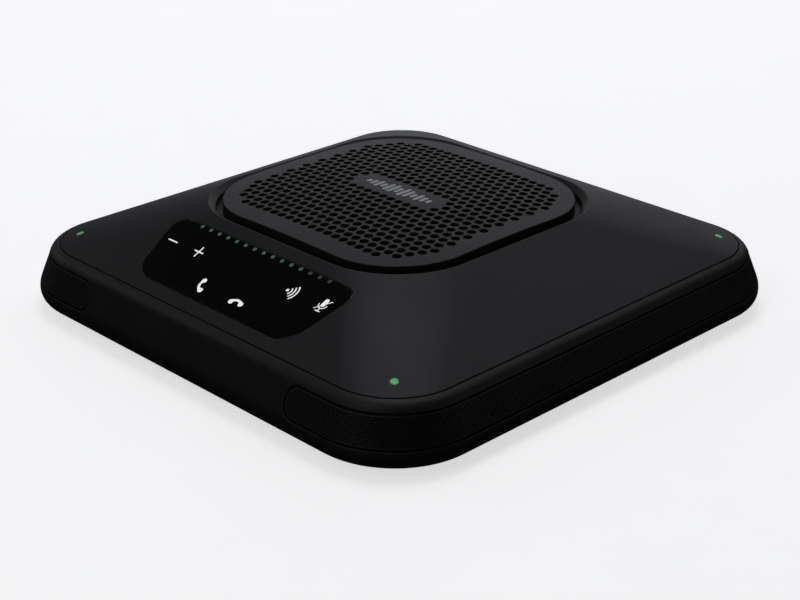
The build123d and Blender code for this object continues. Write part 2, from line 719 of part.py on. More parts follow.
with BuildPart() as dust_cap:
    with Locations((0, 0, CAP_CENTRE_Z)):
        Sphere(CAP_R)
        Sphere(CAP_R - 0.4, mode=Mode.SUBTRACT)
    split(bisect_by=Plane.XY.offset(28.3), keep=Keep.TOP)
save(dust_cap.part, "dust_cap")

# The surround is a half roll between the cone's rim and the basket's flange.
with BuildPart() as surround:
    roll_at = CONE_R + ROLL_R
    land_z = RIM_Z + 0.6
    with BuildSketch(Plane.XZ):
        with Locations((roll_at, land_z)):
            Circle(ROLL_R + ROLL_T)
            Circle(ROLL_R, mode=Mode.SUBTRACT)
            Rectangle(40, 20, align=(Align.CENTER, Align.MAX), mode=Mode.SUBTRACT)
        with Locations((CONE_R - 2.2, land_z)):
            Rectangle(2.2, ROLL_T, align=(Align.MIN, Align.MIN))
        with Locations((roll_at + ROLL_R, land_z)):
            Rectangle(4.4, ROLL_T, align=(Align.MIN, Align.MIN))
    revolve(axis=Axis.Z)
save(surround.part, "surround")

SPIDER_WAVES = 5
SPIDER_T = 0.4
SPIDER_OUT_R = 28.2
spider_step = (SPIDER_OUT_R - COIL_R) / (2 * SPIDER_WAVES)
spider_line = [(COIL_R, SPIDER_Z)]
for i in range(2 * SPIDER_WAVES):
    crest = 0.8 if i % 2 else -0.8
    spider_line.append((COIL_R + (i + 0.5) * spider_step, SPIDER_Z + crest))
spider_line += [(SPIDER_OUT_R, SPIDER_Z), (30.4, SPIDER_Z)]

with BuildPart() as spider:
    with BuildSketch(Plane.XZ):
        Polygon(
            *spider_line,
            *[(x, z + SPIDER_T) for x, z in reversed(spider_line)],
            align=None,
        )
    revolve(axis=Axis.Z)
save(spider.part, "spider")

# ---------------------------------------------------------------- electronics

with BuildPart() as main_board:
    with BuildSketch(Plane.XY.offset(MAIN_BOARD_Z)):
        with Locations((0, MAIN_BOARD_AT)):
            RectangleRounded(MAIN_BOARD_X, MAIN_BOARD_Y, 2)
        with Locations(*board_screw_places):
            Circle(SCREW_R + 0.1, mode=Mode.SUBTRACT)
    extrude(amount=MAIN_BOARD_T)
save(main_board.part, "main_board")

with BuildPart() as board_chips:
    with BuildSketch(Plane.XY.offset(MAIN_BOARD_TOP_Z)):
        with Locations((-8, 80)):
            Rectangle(14, 14)
        with Locations((16, 76)):
            Rectangle(9, 9)
    extrude(amount=1.4)
save(board_chips.part, "board_chips")

with BuildPart() as radio_module:
    with BuildSketch(Plane.XY.offset(MAIN_BOARD_TOP_Z)):
        with Locations((-48, 84)):
            RectangleRounded(16, 22, 0.6)
    extrude(amount=2.4)
save(radio_module.part, "radio_module")

with BuildPart() as capacitors:
    with Locations(*[(x, 74, MAIN_BOARD_TOP_Z) for x in (34, 45, 56)]):
        Cylinder(4, 9, align=UP)
    fillet(capacitors.edges().group_by(Axis.Z)[-1], 0.6)
save(capacitors.part, "capacitors")

with BuildPart() as battery_pack:
    with BuildSketch(Plane.XY.offset(BOTTOM_TOP_Z + 0.1)):
        with Locations((0, BATTERY_Y)):
            RectangleRounded(92, 36, 2)
    extrude(amount=9)
    fillet(battery_pack.edges().group_by(Axis.Z)[-1], 1.0)
save(battery_pack.part, "battery_pack")

# ---------------------------------------------------------------- rear ports


def rear_plane(y):
    """Plane at a distance y, seen from behind: x runs to +X and the normal points to -Y."""
    return Plane.XZ.offset(-y)


with BuildPart() as port_panel:
    panel_low_z = 8.4
    panel_high_z = 20.4
    with BuildSketch(rear_plane(PORT_FACE_Y)):
        with Locations((0, (panel_low_z + panel_high_z) / 2)):
            RectangleRounded(2 * PORT_WINDOW_HALF + 7, panel_high_z - panel_low_z, 1.5)
        with Locations((USB_X, USB_Z)):
            RectangleRounded(9.4, 3.7, 1.7, mode=Mode.SUBTRACT)
        with Locations((AUX_X, AUX_Z)):
            Circle(3.1, mode=Mode.SUBTRACT)
        with Locations((DC_X, DC_Z)):
            Circle(4.1, mode=Mode.SUBTRACT)
        with Locations((BUTTON_X, BUTTON_Z)):
            Circle(BUTTON_R + BUTTON_GAP, mode=Mode.SUBTRACT)
    extrude(amount=PORT_PANEL_T)
save(port_panel.part, "port_panel")

with BuildPart() as usb_socket:
    with BuildSketch(rear_plane(PORT_FACE_Y)):
        with Locations((USB_X, USB_Z)):
            RectangleRounded(9.0, 3.3, 1.6)
    extrude(amount=8)
    with BuildSketch(rear_plane(PORT_FACE_Y)):
        with Locations((USB_X, USB_Z)):
            RectangleRounded(8.4, 2.7, 1.3)
    extrude(amount=6.6, mode=Mode.SUBTRACT)
    with BuildSketch(rear_plane(PORT_FACE_Y - 0.8)):
        with Locations((USB_X, USB_Z)):
            Rectangle(6.7, 0.7)
    extrude(amount=6)
save(usb_socket.part, "usb_socket")

BODY_Y = PORT_FACE_Y - PORT_PANEL_T - 0.5

with BuildPart() as aux_socket:
    with BuildSketch(rear_plane(BODY_Y)):
        with Locations((AUX_X, AUX_Z)):
            Rectangle(7, 5.6)
    extrude(amount=12)
    with Locations(Location((AUX_X, PORT_FACE_Y, AUX_Z), (90, 0, 0))):
        Cylinder(3.0, PORT_FACE_Y - BODY_Y, align=UP)
        Cylinder(AUX_BORE_R, 12, align=UP, mode=Mode.SUBTRACT)
save(aux_socket.part, "aux_socket")

with BuildPart() as dc_socket:
    with BuildSketch(rear_plane(BODY_Y)):
        with Locations((DC_X, DC_Z)):
            Rectangle(9, 9)
    extrude(amount=12.5)
    with Locations(Location((DC_X, PORT_FACE_Y, DC_Z), (90, 0, 0))):
        Cylinder(4.0, PORT_FACE_Y - BODY_Y, align=UP)
        Cylinder(2.9, 10, align=UP, mode=Mode.SUBTRACT)
    with Locations(Location((DC_X, PORT_FACE_Y - 0.8, DC_Z), (90, 0, 0))):
        Cylinder(1.0, 10, align=UP)
save(dc_socket.part, "dc_socket")

BUTTON_PROUD = 1.0
with BuildPart() as power_button:
    with Locations(Location((BUTTON_X, PORT_FACE_Y + BUTTON_PROUD, BUTTON_Z), (90, 0, 0))):
        Cylinder(BUTTON_R, BUTTON_PROUD + PORT_PANEL_T + 0.6, align=UP)
    fillet(power_button.edges().sort_by(Axis.Y)[-1], 0.5)
    with Locations(Location((BUTTON_X, PORT_FACE_Y - PORT_PANEL_T - 0.2, BUTTON_Z), (90, 0, 0))):
        Cylinder(BUTTON_R + 1, 1.2, align=UP)
        Cylinder(1.2, 2.8, align=UP)
save(power_button.part, "power_button")

with BuildPart() as power_switch:
    with BuildSketch(rear_plane(106.2)):
        with Locations((BUTTON_X, MAIN_BOARD_TOP_Z)):
            Rectangle(7, 8, align=(Align.CENTER, Align.MIN))
    extrude(amount=3.2)
save(power_switch.part, "power_switch")

# ---------------------------------------------------------------- internal cables


def cable(points, bends, radius):
    """Round cable along straight runs joined by arcs."""
    with BuildPart() as lead:
        with BuildLine():
            route = FilletPolyline(*points, radius=bends)
        start = route @ 0
        with BuildSketch(Plane(origin=start, z_dir=route % 0)):
            Circle(radius)
        sweep()
    return lead.part


panel_cable = [(38, -88, 24.5), (58, -76, 14), (64, -50, 8), (64, 40, 8), (64, 60, 14), (62, 70, 12.4)]
battery_cable = [(-46, -81, 11.5), (-56, -81, 11.5), (-64, -68, 10), (-64, 40, 8), (-62, 58, 13), (-58, 66, 12.4)]
speaker_cable = [(20, 34, 22), (20, 48, 14), (20, 61, 14), (24, 70, 12.4)]
with BuildPart() as internal_cables:
    add(cable(panel_cable, 6, 1.2))
    add(cable(battery_cable, 5, 1.0))
    add(cable(speaker_cable, 4, 1.0))
save(internal_cables.part, "internal_cables")
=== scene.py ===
import json
from math import asin, atan2, cos, hypot, pi, radians, sin, tan

import bpy
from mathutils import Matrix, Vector
from mathutils.geometry import delaunay_2d_cdt


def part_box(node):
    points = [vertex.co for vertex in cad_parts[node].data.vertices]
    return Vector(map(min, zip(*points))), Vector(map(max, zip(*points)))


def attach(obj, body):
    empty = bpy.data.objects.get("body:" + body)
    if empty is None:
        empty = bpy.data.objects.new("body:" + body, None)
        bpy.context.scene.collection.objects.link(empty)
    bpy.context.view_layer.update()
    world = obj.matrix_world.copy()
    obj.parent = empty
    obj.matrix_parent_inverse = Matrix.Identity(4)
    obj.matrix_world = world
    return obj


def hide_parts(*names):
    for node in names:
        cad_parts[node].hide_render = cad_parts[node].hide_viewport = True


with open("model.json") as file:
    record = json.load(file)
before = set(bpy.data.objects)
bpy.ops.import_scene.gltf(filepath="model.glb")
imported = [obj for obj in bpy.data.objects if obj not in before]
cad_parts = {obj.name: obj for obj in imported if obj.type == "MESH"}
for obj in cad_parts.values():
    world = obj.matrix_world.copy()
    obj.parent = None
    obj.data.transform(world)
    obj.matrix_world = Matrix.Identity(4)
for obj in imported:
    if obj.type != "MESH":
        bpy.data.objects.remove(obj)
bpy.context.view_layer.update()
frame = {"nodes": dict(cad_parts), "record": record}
nodes = frame["nodes"]

# All shapes below are worked out in millimetres and turned into metres when a piece is made.
MM = 0.001


def box_mm(node):
    """Lowest and highest corner of a CAD node, in millimetres."""
    low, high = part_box(node)
    return low / MM, high / MM


def put(name, data):
    """Adds an object to the scene."""
    made = bpy.data.objects.new(name, data)
    bpy.context.scene.collection.objects.link(made)
    return made


def around(count):
    """Evenly spaced angles once round a circle."""
    return [2 * pi * i / count for i in range(count)]


# ---------------------------------------------------------------- camera, lights, floor

CAMERA_AZIMUTH = radians(45.64)
CAMERA_ELEVATION = radians(24.56)
CAMERA_DISTANCE = 0.7369
CAMERA_LENS = 76.6
CAMERA_AIM = Vector((0.0, 0.0, 0.002))
CAMERA_RIGHT_BY = 0.0005
CAMERA_UP_BY = -0.0024
SENSOR_WIDTH = 36


def add_camera():
    """Camera on the front right-hand corner's side, aimed at the middle of the object."""
    level = cos(CAMERA_ELEVATION)
    back = Vector((sin(CAMERA_AZIMUTH) * level, -cos(CAMERA_AZIMUTH) * level, sin(CAMERA_ELEVATION)))
    right = Vector((cos(CAMERA_AZIMUTH), sin(CAMERA_AZIMUTH), 0))
    up = back.cross(right)
    camera = put("camera", bpy.data.cameras.new("camera"))
    camera.data.lens = CAMERA_LENS
    camera.data.sensor_width = SENSOR_WIDTH
    camera.data.clip_start = 0.01
    camera.location = CAMERA_AIM + back * CAMERA_DISTANCE + right * CAMERA_RIGHT_BY + up * CAMERA_UP_BY
    camera.rotation_euler = back.to_track_quat("Z", "Y").to_euler()
    bpy.context.scene.camera = camera


# Each softbox: name, azimuth and elevation in degrees, and power in watts. Azimuth 0 is the right-hand
# side of the object and 270 its front.
SOFTBOXES = [
    ("softbox_front", 270, 50, 2.1),
    ("softbox_front_low", 270, 12, 1.3),
    ("softbox_near_low", 315, 12, 0.3),
    ("softbox_right_low", 30, 12, 0.9),
    ("softbox_high", 135, 75, 5.5),
    ("softbox_rear_right", 80, 50, 1.05),
    ("softbox_rear", 105, 25, 1.1),
    ("softbox_rear_low", 135, 8, 1.3),
    ("softbox_rear_edge", 112, 8, 0.4),
    ("softbox_rear_left", 135, 25, 0.8),
    ("softbox_left_low", 157, 8, 0.35),
    ("softbox_left", 195, 25, 1.6),
]
SOFTBOX_DISTANCE = 1.8
SOFTBOX_SIZE = 0.9
SOFTBOX_COLOUR = (0.96, 0.975, 1.03)
SKY_COLOUR = (0.9, 0.92, 0.95, 1)
SKY_STRENGTH = 0.012
FLOOR_REACH = 2.6
BACKDROP_BEND = 1.4
BACKDROP_HEIGHT = 4.0
FLOOR_SIDES = 72
FLOOR_GLOW = 0.66


def add_softbox(name, azimuth, elevation, power):
    """Square area light that faces the object."""
    a, e = radians(azimuth), radians(elevation)
    place = Vector((cos(a) * cos(e), sin(a) * cos(e), sin(e))) * SOFTBOX_DISTANCE
    light = bpy.data.lights.new(name, "AREA")
    light.shape = "SQUARE"
    light.size = SOFTBOX_SIZE
    light.energy = power
    light.color = SOFTBOX_COLOUR
    lamp = put(name, light)
    lamp.location = place
    lamp.rotation_euler = place.to_track_quat("Z", "Y").to_euler()
    lamp.visible_camera = False


def add_floor():
    """Pale floor that bends up into a backdrop all round."""
    steps = 12
    profile = [(0.0, 0.0), (FLOOR_REACH * 0.5, 0.0)]
    for i in range(steps + 1):
        a = pi / 2 * i / steps
        profile.append((FLOOR_REACH + BACKDROP_BEND * sin(a), BACKDROP_BEND * (1 - cos(a))))
    profile.append((FLOOR_REACH + BACKDROP_BEND, BACKDROP_HEIGHT))
    points = []
    for reach, height in profile:
        points += [(reach * cos(a), reach * sin(a), height) for a in around(FLOOR_SIDES)]
    faces = []
    for row in range(len(profile) - 1):
        low, high = row * FLOOR_SIDES, (row + 1) * FLOOR_SIDES
        for i in range(FLOOR_SIDES):
            j = (i + 1) % FLOOR_SIDES
            faces.append((low + i, low + j, high + j, high + i))
    mesh = bpy.data.meshes.new("floor")
    mesh.from_pydata(points, [], faces)
    mesh.shade_smooth()
    mesh.materials.append(paper_white())
    floor = put("floor", mesh)
    floor.visible_glossy = False
    floor.visible_diffuse = False


def add_studio():
    """Softboxes, a faint even sky and the floor."""
    for name, azimuth, elevation, power in SOFTBOXES:
        add_softbox(name, azimuth, elevation, power)
    world = bpy.data.worlds.new("studio")
    world.use_nodes = True
    background = world.node_tree.nodes["Background"]
    background.inputs["Color"].default_value = SKY_COLOUR
    background.inputs["Strength"].default_value = SKY_STRENGTH
    bpy.context.scene.world = world
    bpy.context.scene.view_settings.view_transform = "Standard"
    add_floor()


# ---------------------------------------------------------------- materials

# Nearly all of a noise texture's values lie between these two.
NOISE_LOW = 0.3
NOISE_HIGH = 0.7


def add_node(tree, kind, values=()):
    """Shader node with some of its inputs set."""
    node = tree.nodes.new("ShaderNode" + kind)
    for socket, value in dict(values).items():
        node.inputs[socket].default_value = value
    return node


def new_material(name, values=()):
    """Empty material with a principled shader: returns the material, its tree and the shader."""
    material = bpy.data.materials.new(name)
    material.use_nodes = True
    tree = material.node_tree
    tree.nodes.clear()
    shader = add_node(tree, "BsdfPrincipled", values)
    tree.links.new(shader.outputs["BSDF"], add_node(tree, "OutputMaterial").inputs["Surface"])
    return material, tree, shader


def object_noise(tree, scale, detail=3.0, roughness=0.5):
    """Noise in the object's own coordinates. scale is in features per metre."""
    noise = add_node(tree, "TexNoise", {"Scale": scale, "Detail": detail, "Roughness": roughness})
    tree.links.new(add_node(tree, "TexCoord").outputs["Object"], noise.inputs["Vector"])
    return noise.outputs["Fac"]


def between(tree, factor, low, high):
    """Maps a noise factor to a range of numbers."""
    limits = {"From Min": NOISE_LOW, "From Max": NOISE_HIGH, "To Min": low, "To Max": high}
    node = add_node(tree, "MapRange", limits)
    tree.links.new(factor, node.inputs["Value"])
    return node.outputs["Result"]


def tinted(tree, factor, dark, light):
    """Maps a noise factor to a colour between two colours."""
    ramp = add_node(tree, "ValToRGB")
    stops = ramp.color_ramp.elements
    stops[0].position, stops[1].position = NOISE_LOW, NOISE_HIGH
    stops[0].color, stops[1].color = (*dark, 1), (*light, 1)
    tree.links.new(factor, ramp.inputs["Fac"])
    return ramp.outputs["Color"]


def add_tint(tree, shader, factor, colour, darkest, lightest=1.0, socket="Base Color"):
    """Drives a colour socket by a noise factor, between two shares of a colour."""
    dark, light = ([c * share for c in colour] for share in (darkest, lightest))
    tree.links.new(tinted(tree, factor, dark, light), shader.inputs[socket])


def add_roughness(tree, shader, factor, low, high):
    """Drives the roughness by a noise factor."""
    tree.links.new(between(tree, factor, low, high), shader.inputs["Roughness"])


def add_bump(tree, shader, heights, strength, distance):
    """Bump from one or more height fields, each with its weight."""
    total = None
    for height, weight in heights:
        adder = add_node(tree, "Math", {1: weight})
        adder.operation = "MULTIPLY_ADD"
        tree.links.new(height, adder.inputs[0])
        adder.inputs[2].default_value = 0.0
        if total:
            tree.links.new(total, adder.inputs[2])
        total = adder.outputs["Value"]
    bump = add_node(tree, "Bump", {"Strength": strength, "Distance": distance})
    tree.links.new(total, bump.inputs["Height"])
    tree.links.new(bump.outputs["Normal"], shader.inputs["Normal"])


def moulded(
    name, colour, roughness, grain=1400.0, grain_depth=0.00003, strength=0.25, spread=0.12, gloss=0.5
):
    """Moulded or painted surface: slight colour drift, uneven gloss and a fine grain."""
    material, tree, shader = new_material(name, {"Specular IOR Level": gloss})
    add_tint(tree, shader, object_noise(tree, 18.0, 4.0, 0.6), colour, 1 - spread, 1 + spread)
    handling = object_noise(tree, 45.0, 5.0, 0.65)
    add_roughness(tree, shader, handling, roughness - 0.03, roughness + 0.03)
    fine = object_noise(tree, grain, 2.0, 0.5)
    coarse = object_noise(tree, grain * 0.4, 2.0, 0.5)
    add_bump(tree, shader, [(fine, 0.65), (coarse, 0.35)], strength, grain_depth)
    return material


def polished(name, colour, roughness=0.09, coat=0.4):
    """Clear polished plastic or glass-like lens with the faintest waviness."""
    material, tree, shader = new_material(name, {"Coat Weight": coat, "Coat Roughness": 0.04})
    add_tint(tree, shader, object_noise(tree, 25.0), colour, 0.9, 1.1)
    add_roughness(tree, shader, object_noise(tree, 60.0, 6.0, 0.7), roughness - 0.02, roughness + 0.03)
    add_bump(tree, shader, [(object_noise(tree, 90.0), 1.0)], 0.04, 0.00002)
    return material


def woven(name, colour, threads=1700.0, roughness=0.85):
    """Plain woven cloth: two crossed sets of threads, with uneven dye."""
    material, tree, shader = new_material(name, {"Sheen Weight": 0.1})
    place = add_node(tree, "TexCoord")
    heights = []
    for direction in ("X", "Y"):
        wave = add_node(tree, "TexWave", {"Scale": threads / (2 * pi), "Distortion": 0.6, "Detail": 1.0})
        wave.bands_direction = direction
        tree.links.new(place.outputs["Object"], wave.inputs["Vector"])
        heights.append((wave.outputs["Fac"], 0.5))
    dye = object_noise(tree, 120.0, 4.0, 0.6)
    add_tint(tree, shader, dye, colour, 0.7, 1.3)
    add_roughness(tree, shader, dye, roughness - 0.05, roughness + 0.05)
    add_bump(tree, shader, heights, 0.5, 0.0001)
    return material


def brushed(name, colour, roughness=0.32, grain=900.0):
    """Plated or brushed metal with fine drawn lines."""
    material, tree, shader = new_material(name, {"Metallic": 1.0})
    stretch = add_node(tree, "Mapping", {"Scale": (1.0, 12.0, 1.0)})
    lines = add_node(tree, "TexNoise", {"Scale": grain, "Detail": 4.0})
    tree.links.new(add_node(tree, "TexCoord").outputs["Object"], stretch.inputs["Vector"])
    tree.links.new(stretch.outputs["Vector"], lines.inputs["Vector"])
    factor = lines.outputs["Fac"]
    add_tint(tree, shader, factor, colour, 0.85)
    add_roughness(tree, shader, factor, roughness - 0.06, roughness + 0.08)
    add_bump(tree, shader, [(factor, 1.0)], 0.15, 0.00002)
    return material


def lit(name, colour, glow, strength):
    """Translucent lens or print with light behind it. On a print that is switched off, the emission is a
    painted glow.
    """
    material, tree, shader = new_material(name, {"Emission Strength": strength})
    cloud = object_noise(tree, 900.0, 2.0)
    add_tint(tree, shader, cloud, colour, 0.9)
    add_tint(tree, shader, cloud, glow, 0.85, socket="Emission Color")
    add_roughness(tree, shader, cloud, 0.25, 0.35)
    add_bump(tree, shader, [(cloud, 1.0)], 0.05, 0.00002)
    return material


def paper_white():
    """Pale seamless studio paper."""
    looks = {"Roughness": 0.9, "Specular IOR Level": 0.0}
    looks |= {"Emission Color": (1, 1, 1, 1), "Emission Strength": FLOOR_GLOW}
    material, tree, shader = new_material("studio_paper", looks)
    fibre = object_noise(tree, 30.0, 4.0)
    tree.links.new(tinted(tree, fibre, (0.86,) * 3, (0.89,) * 3), shader.inputs["Base Color"])
    return material


# ---------------------------------------------------------------- mesh building


class Skin:
    """Gathers points with their own normals and the faces between them, in millimetres."""

    def __init__(self):
        self.points = []
        self.normals = []
        self.faces = []

    def vertex(self, point, normal):
        """Adds one point and returns its number."""
        self.points.append(point)
        self.normals.append(normal)
        return len(self.points) - 1

    def band(self, first, second):
        """Faces between two rings of as many vertices."""
        for i in range(len(first)):
            j = (i + 1) % len(first)
            self.faces.append((first[i], first[j], second[j], second[i]))

    def fan(self, tip, ring):
        """Faces between one vertex and a ring."""
        for i, corner in enumerate(ring):
            self.faces.append((tip, corner, ring[(i + 1) % len(ring)]))

    def rim(self, surface, loop, steps, hole=True):
        """Carries a loop over an edge. Each step is how far it stands back from the edge, how deep it
        lies under the surface and how far its normal has turned. Returns the first and last rings."""
        side = -1 if hole else 1
        rings = []
        for i, (back, drop, turn) in enumerate(steps):
            ring = []
            for u, v, nu, nv in loop:
                point, normal, along_u, along_v = surface(u - side * nu * back, v - side * nv * back)
                away = (along_u * nu + along_v * nv).normalized() * side
                facing = normal * cos(radians(turn)) + away * sin(radians(turn))
                ring.append(self.vertex(point - normal * drop, facing))
            rings.append(ring)
            if i and steps[i - 1][:2] != (back, drop):
                self.band(rings[-2], ring)
        return rings[0], rings[-1]

    def edge(self, surface, loop, steps, hole=True):
        """Carries a loop over an edge, and pairs its plan points with its first ring for fill()."""
        back = steps[0][0] if hole else -steps[0][0]
        return plan_of(loop, back), self.rim(surface, loop, steps, hole)[0]

    def under(self, surface, loop, back, depth, hole=True):
        """The same pair for the underside of a plate of a given depth."""
        return self.edge(surface, loop, [(back, depth, 180.0)], hole)

    def fill(self, surface, edges, inside=(), drop=0.0, facing=1):
        """Fills the region between loops. edges pairs each loop's plan points with its vertices, the
        outer one first, and inside adds points that the surface needs between them."""
        plan = []
        index = []
        owner = []
        loops = []
        for number, (points, ring) in enumerate(edges):
            loops.append(list(range(len(plan), len(plan) + len(points))))
            plan += [Vector(p) for p in points]
            index += ring
            owner += [number] * len(points)
        for u, v in inside:
            point, normal, _, _ = surface(u, v)
            plan.append(Vector((u, v)))
            index.append(self.vertex(point - normal * drop, normal * facing))
            owner.append(-1)
        made = delaunay_2d_cdt(plan, [], loops, 1, 1e-7)
        origin = [ids[0] for ids in made[3]]
        for face in made[2]:
            corners = [origin[i] for i in face]
            owners = {owner[i] for i in corners}
            if len(owners) > 1 or owners <= {0, -1}:
                self.faces.append(tuple(index[i] for i in corners))

    def piece(self, name, body, material, slot, replaces=()):
        """Makes the Blender object, with every face turned the way its normals point."""
        faces = []
        for face in self.faces:
            a, b, c = (self.points[i] for i in face[:3])
            turned = (b - a).cross(c - a)
            if len(face) == 4:
                turned += (c - a).cross(self.points[face[3]] - a)
            along = sum((self.normals[i] for i in face), Vector())
            faces.append(tuple(reversed(face)) if turned.dot(along) < 0 else face)
        mesh = bpy.data.meshes.new(name)
        mesh.from_pydata([p * MM for p in self.points], [], faces)
        mesh.shade_smooth()
        mesh.normals_split_custom_set_from_vertices([n.normalized() for n in self.normals])
        mesh.materials.append(material)
        made = put(name, mesh)
        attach(made, body)
        if replaces:
            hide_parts(*replaces)


def rounded_edge(radius, depth, count=3):
    """Steps of a rounded edge, followed by a straight wall."""
    steps = []
    for i in range(count + 1):
        turn = radians(90 * i / count)
        steps.append((radius * (1 - sin(turn)), radius * (1 - cos(turn)), 90 * i / count))
    if depth > radius:
        steps.append((0.0, depth, 90.0))
    return steps


def plan_of(loop, back=0.0):
    """Plan points of a loop, moved outwards by a distance."""
    return [(u + nu * back, v + nv * back) for u, v, nu, nv in loop]


def polygon_loop(corners, radii, corner_steps=8, spacing=6.0):
    """Closed anticlockwise loop with rounded corners, each point with its outward normal."""
    loop = []
    count = len(corners)
    ends = []
    for i in range(count):
        before, here, after = (Vector(corners[(i + k) % count]) for k in (-1, 0, 1))
        way_in = (here - before).normalized()
        way_out = (after - here).normalized()
        turn = atan2(way_in.x * way_out.y - way_in.y * way_out.x, way_in.dot(way_out))
        cut = radii[i] * tan(turn / 2)
        start = here - way_in * cut
        centre = start + Vector((-way_in.y, way_in.x)) * radii[i]
        angle = atan2(start.y - centre.y, start.x - centre.x)
        arc = []
        for k in range(corner_steps + 1):
            a = angle + turn * k / corner_steps
            arc.append((centre.x + radii[i] * cos(a), centre.y + radii[i] * sin(a), cos(a), sin(a)))
        ends.append(arc)
    for i in range(count):
        arc = ends[i]
        loop += arc
        last = Vector(arc[-1][:2])
        following = Vector(ends[(i + 1) % count][0][:2])
        run = following - last
        pieces = max(1, int(run.length / spacing))
        for k in range(1, pieces):
            middle = last + run * k / pieces
            loop.append((middle.x, middle.y, arc[-1][2], arc[-1][3]))
    return loop


def square_loop(half, radius, corner_steps, spacing):
    """Rounded square as a loop."""
    corners = [(half, -half), (half, half), (-half, half), (-half, -half)]
    return polygon_loop(corners, [radius] * 4, corner_steps, spacing)


def box_loop(low, high, radius, corner_steps, spacing):
    """Rounded rectangle between two corners as a loop."""
    corners = [low, (high[0], low[1]), high, (low[0], high[1])]
    return polygon_loop(corners, [radius] * 4, corner_steps, spacing)


def circle_loop(x, y, radius, count):
    """Circle as a loop, each point with its outward normal."""
    return [(x + radius * cos(a), y + radius * sin(a), cos(a), sin(a)) for a in around(count)]


def smooth_surface(at):
    """Surface from a function of two numbers: point, normal and the two directions along it."""
    step = 0.01

    def surface(u, v):
        along_u = (at(u + step, v) - at(u - step, v)).normalized()
        along_v = (at(u, v + step) - at(u, v - step)).normalized()
        return at(u, v), along_u.cross(along_v).normalized(), along_u, along_v

    return surface


def inside_loop(x, y, loop, margin):
    """Whether a point lies in a convex loop that is grown by a margin."""
    return all((x - u) * nu + (y - v) * nv < margin for u, v, nu, nv in loop)


# ---------------------------------------------------------------- housing wall

HALF_WIDTH = box_mm("side_frame")[1].x
CORNER_AT = 82.5
BASE_Z = box_mm("side_frame")[0].z
WIDEST_Z = 8.6
BASE_CURVE_W = 7.0
BELLY_R = 11.7
LEAN = radians(22.0)
WALL_END_Z = 23.7
SHOULDER_R = 6.0
SEAM_HALF = 110.4
LEDGE_Z = 25.4
COVER_HALF = box_mm("top_cover")[1].x
COVER_EDGE_Z = 27.6
LIP_HALF = 67.5
LIP_R = 36.7
LIP_Z = box_mm("top_cover")[1].z
SLOPE = atan2(LIP_Z - COVER_EDGE_Z, COVER_HALF - LIP_HALF)
TURN_R = HALF_WIDTH - CORNER_AT
QUARTER = 2 * CORNER_AT + pi / 2 * TURN_R
ROUND = 4 * QUARTER

BELLY_TOP_Z = WIDEST_Z + BELLY_R * sin(LEAN)
BELLY_TOP_HALF = HALF_WIDTH - BELLY_R * (1 - cos(LEAN))
WALL_END_HALF = BELLY_TOP_HALF - (WALL_END_Z - BELLY_TOP_Z) * tan(LEAN)
SHOULDER_HALF = WALL_END_HALF - SHOULDER_R * cos(LEAN)
SHOULDER_Z = WALL_END_Z - SHOULDER_R * sin(LEAN)

MESH_LOW_Z, MESH_HIGH_Z = box_mm("side_mesh_right")[0].z, box_mm("side_mesh_right")[1].z
MESH_END_X = box_mm("side_mesh_right")[0].x
MESH_END_R = 5.4
CHANNEL_GAP = 0.5
CHANNEL_DEPTH = 1.65
WALL_T = 2.2

WINDOW_HALF = 44.0
WINDOW_LOW_Z = 10.6
WINDOW_HIGH_Z = 20.2
WINDOW_R = 3.0
WINDOW_EDGE_R = 0.5
SLEEVE_T = 0.8
# Between these heights the wall is one field with openings; the shoulder and the base join on to it.
FIELD_LOW_Z = 9.0
FIELD_HIGH_Z = 25.2
LEDGE_REACH = 3.6
LEDGE_T = 1.4
BASE_RIM_R = 0.3
BASE_RIM_GAP = 0.3
BASE_INSIDE_Z = 4.5
SEAM_R = 0.18
PORT_FACE_Y = box_mm("port_panel")[1].y
CHANNEL_EDGE_R = 0.25
# Points inside a filled field stay this far away from the edges of its openings.
FIELD_MARGIN = 0.9


def wall_half(z):
    """Half-width of the outer wall at height z, from the base to the shoulder."""
    if z < WIDEST_Z:
        fall = (WIDEST_Z - z) / (WIDEST_Z - BASE_Z)
        return HALF_WIDTH - BASE_CURVE_W + BASE_CURVE_W * max(0.0, 1 - fall**2) ** 0.5
    if z < BELLY_TOP_Z:
        return HALF_WIDTH - BELLY_R + (BELLY_R**2 - (z - WIDEST_Z) ** 2) ** 0.5
    if z < WALL_END_Z:
        return BELLY_TOP_HALF - (z - BELLY_TOP_Z) * tan(LEAN)
    return SHOULDER_HALF + max(0.0, SHOULDER_R**2 - (z - SHOULDER_Z) ** 2) ** 0.5


def station(s):
    """Point of the inner square and outward direction, a distance s round the wall. s is 0 at the
    middle of the front and grows towards the right-hand side."""
    s = s % ROUND
    quarter = int((s + CORNER_AT) // QUARTER)
    along = s - quarter * QUARTER
    if along <= CORNER_AT:
        base = Vector((along, -CORNER_AT))
        turn = 0.0
    else:
        base = Vector((CORNER_AT, -CORNER_AT))
        turn = (along - CORNER_AT) / TURN_R
    normal = Vector((sin(turn), -cos(turn)))
    for _ in range(quarter % 4):
        base = Vector((-base.y, base.x))
        normal = Vector((-normal.y, normal.x))
    return base, normal


def wall_at(s, z):
    """Point of the outer wall, a distance s round it and at height z."""
    base, normal = station(s)
    out = base + normal * (wall_half(z) - CORNER_AT)
    return Vector((out.x, out.y, z))


wall_surface = smooth_surface(wall_at)


def wall_stations():
    """Distances round the wall that keep the corners smooth."""
    flat = [CORNER_AT * i / 10 for i in range(10)]
    corner = [CORNER_AT + pi / 2 * TURN_R * i / 36 for i in range(36)]
    rest = [QUARTER - CORNER_AT + CORNER_AT * i / 10 for i in range(10)]
    return [quarter * QUARTER + s for quarter in range(4) for s in flat + corner + rest]


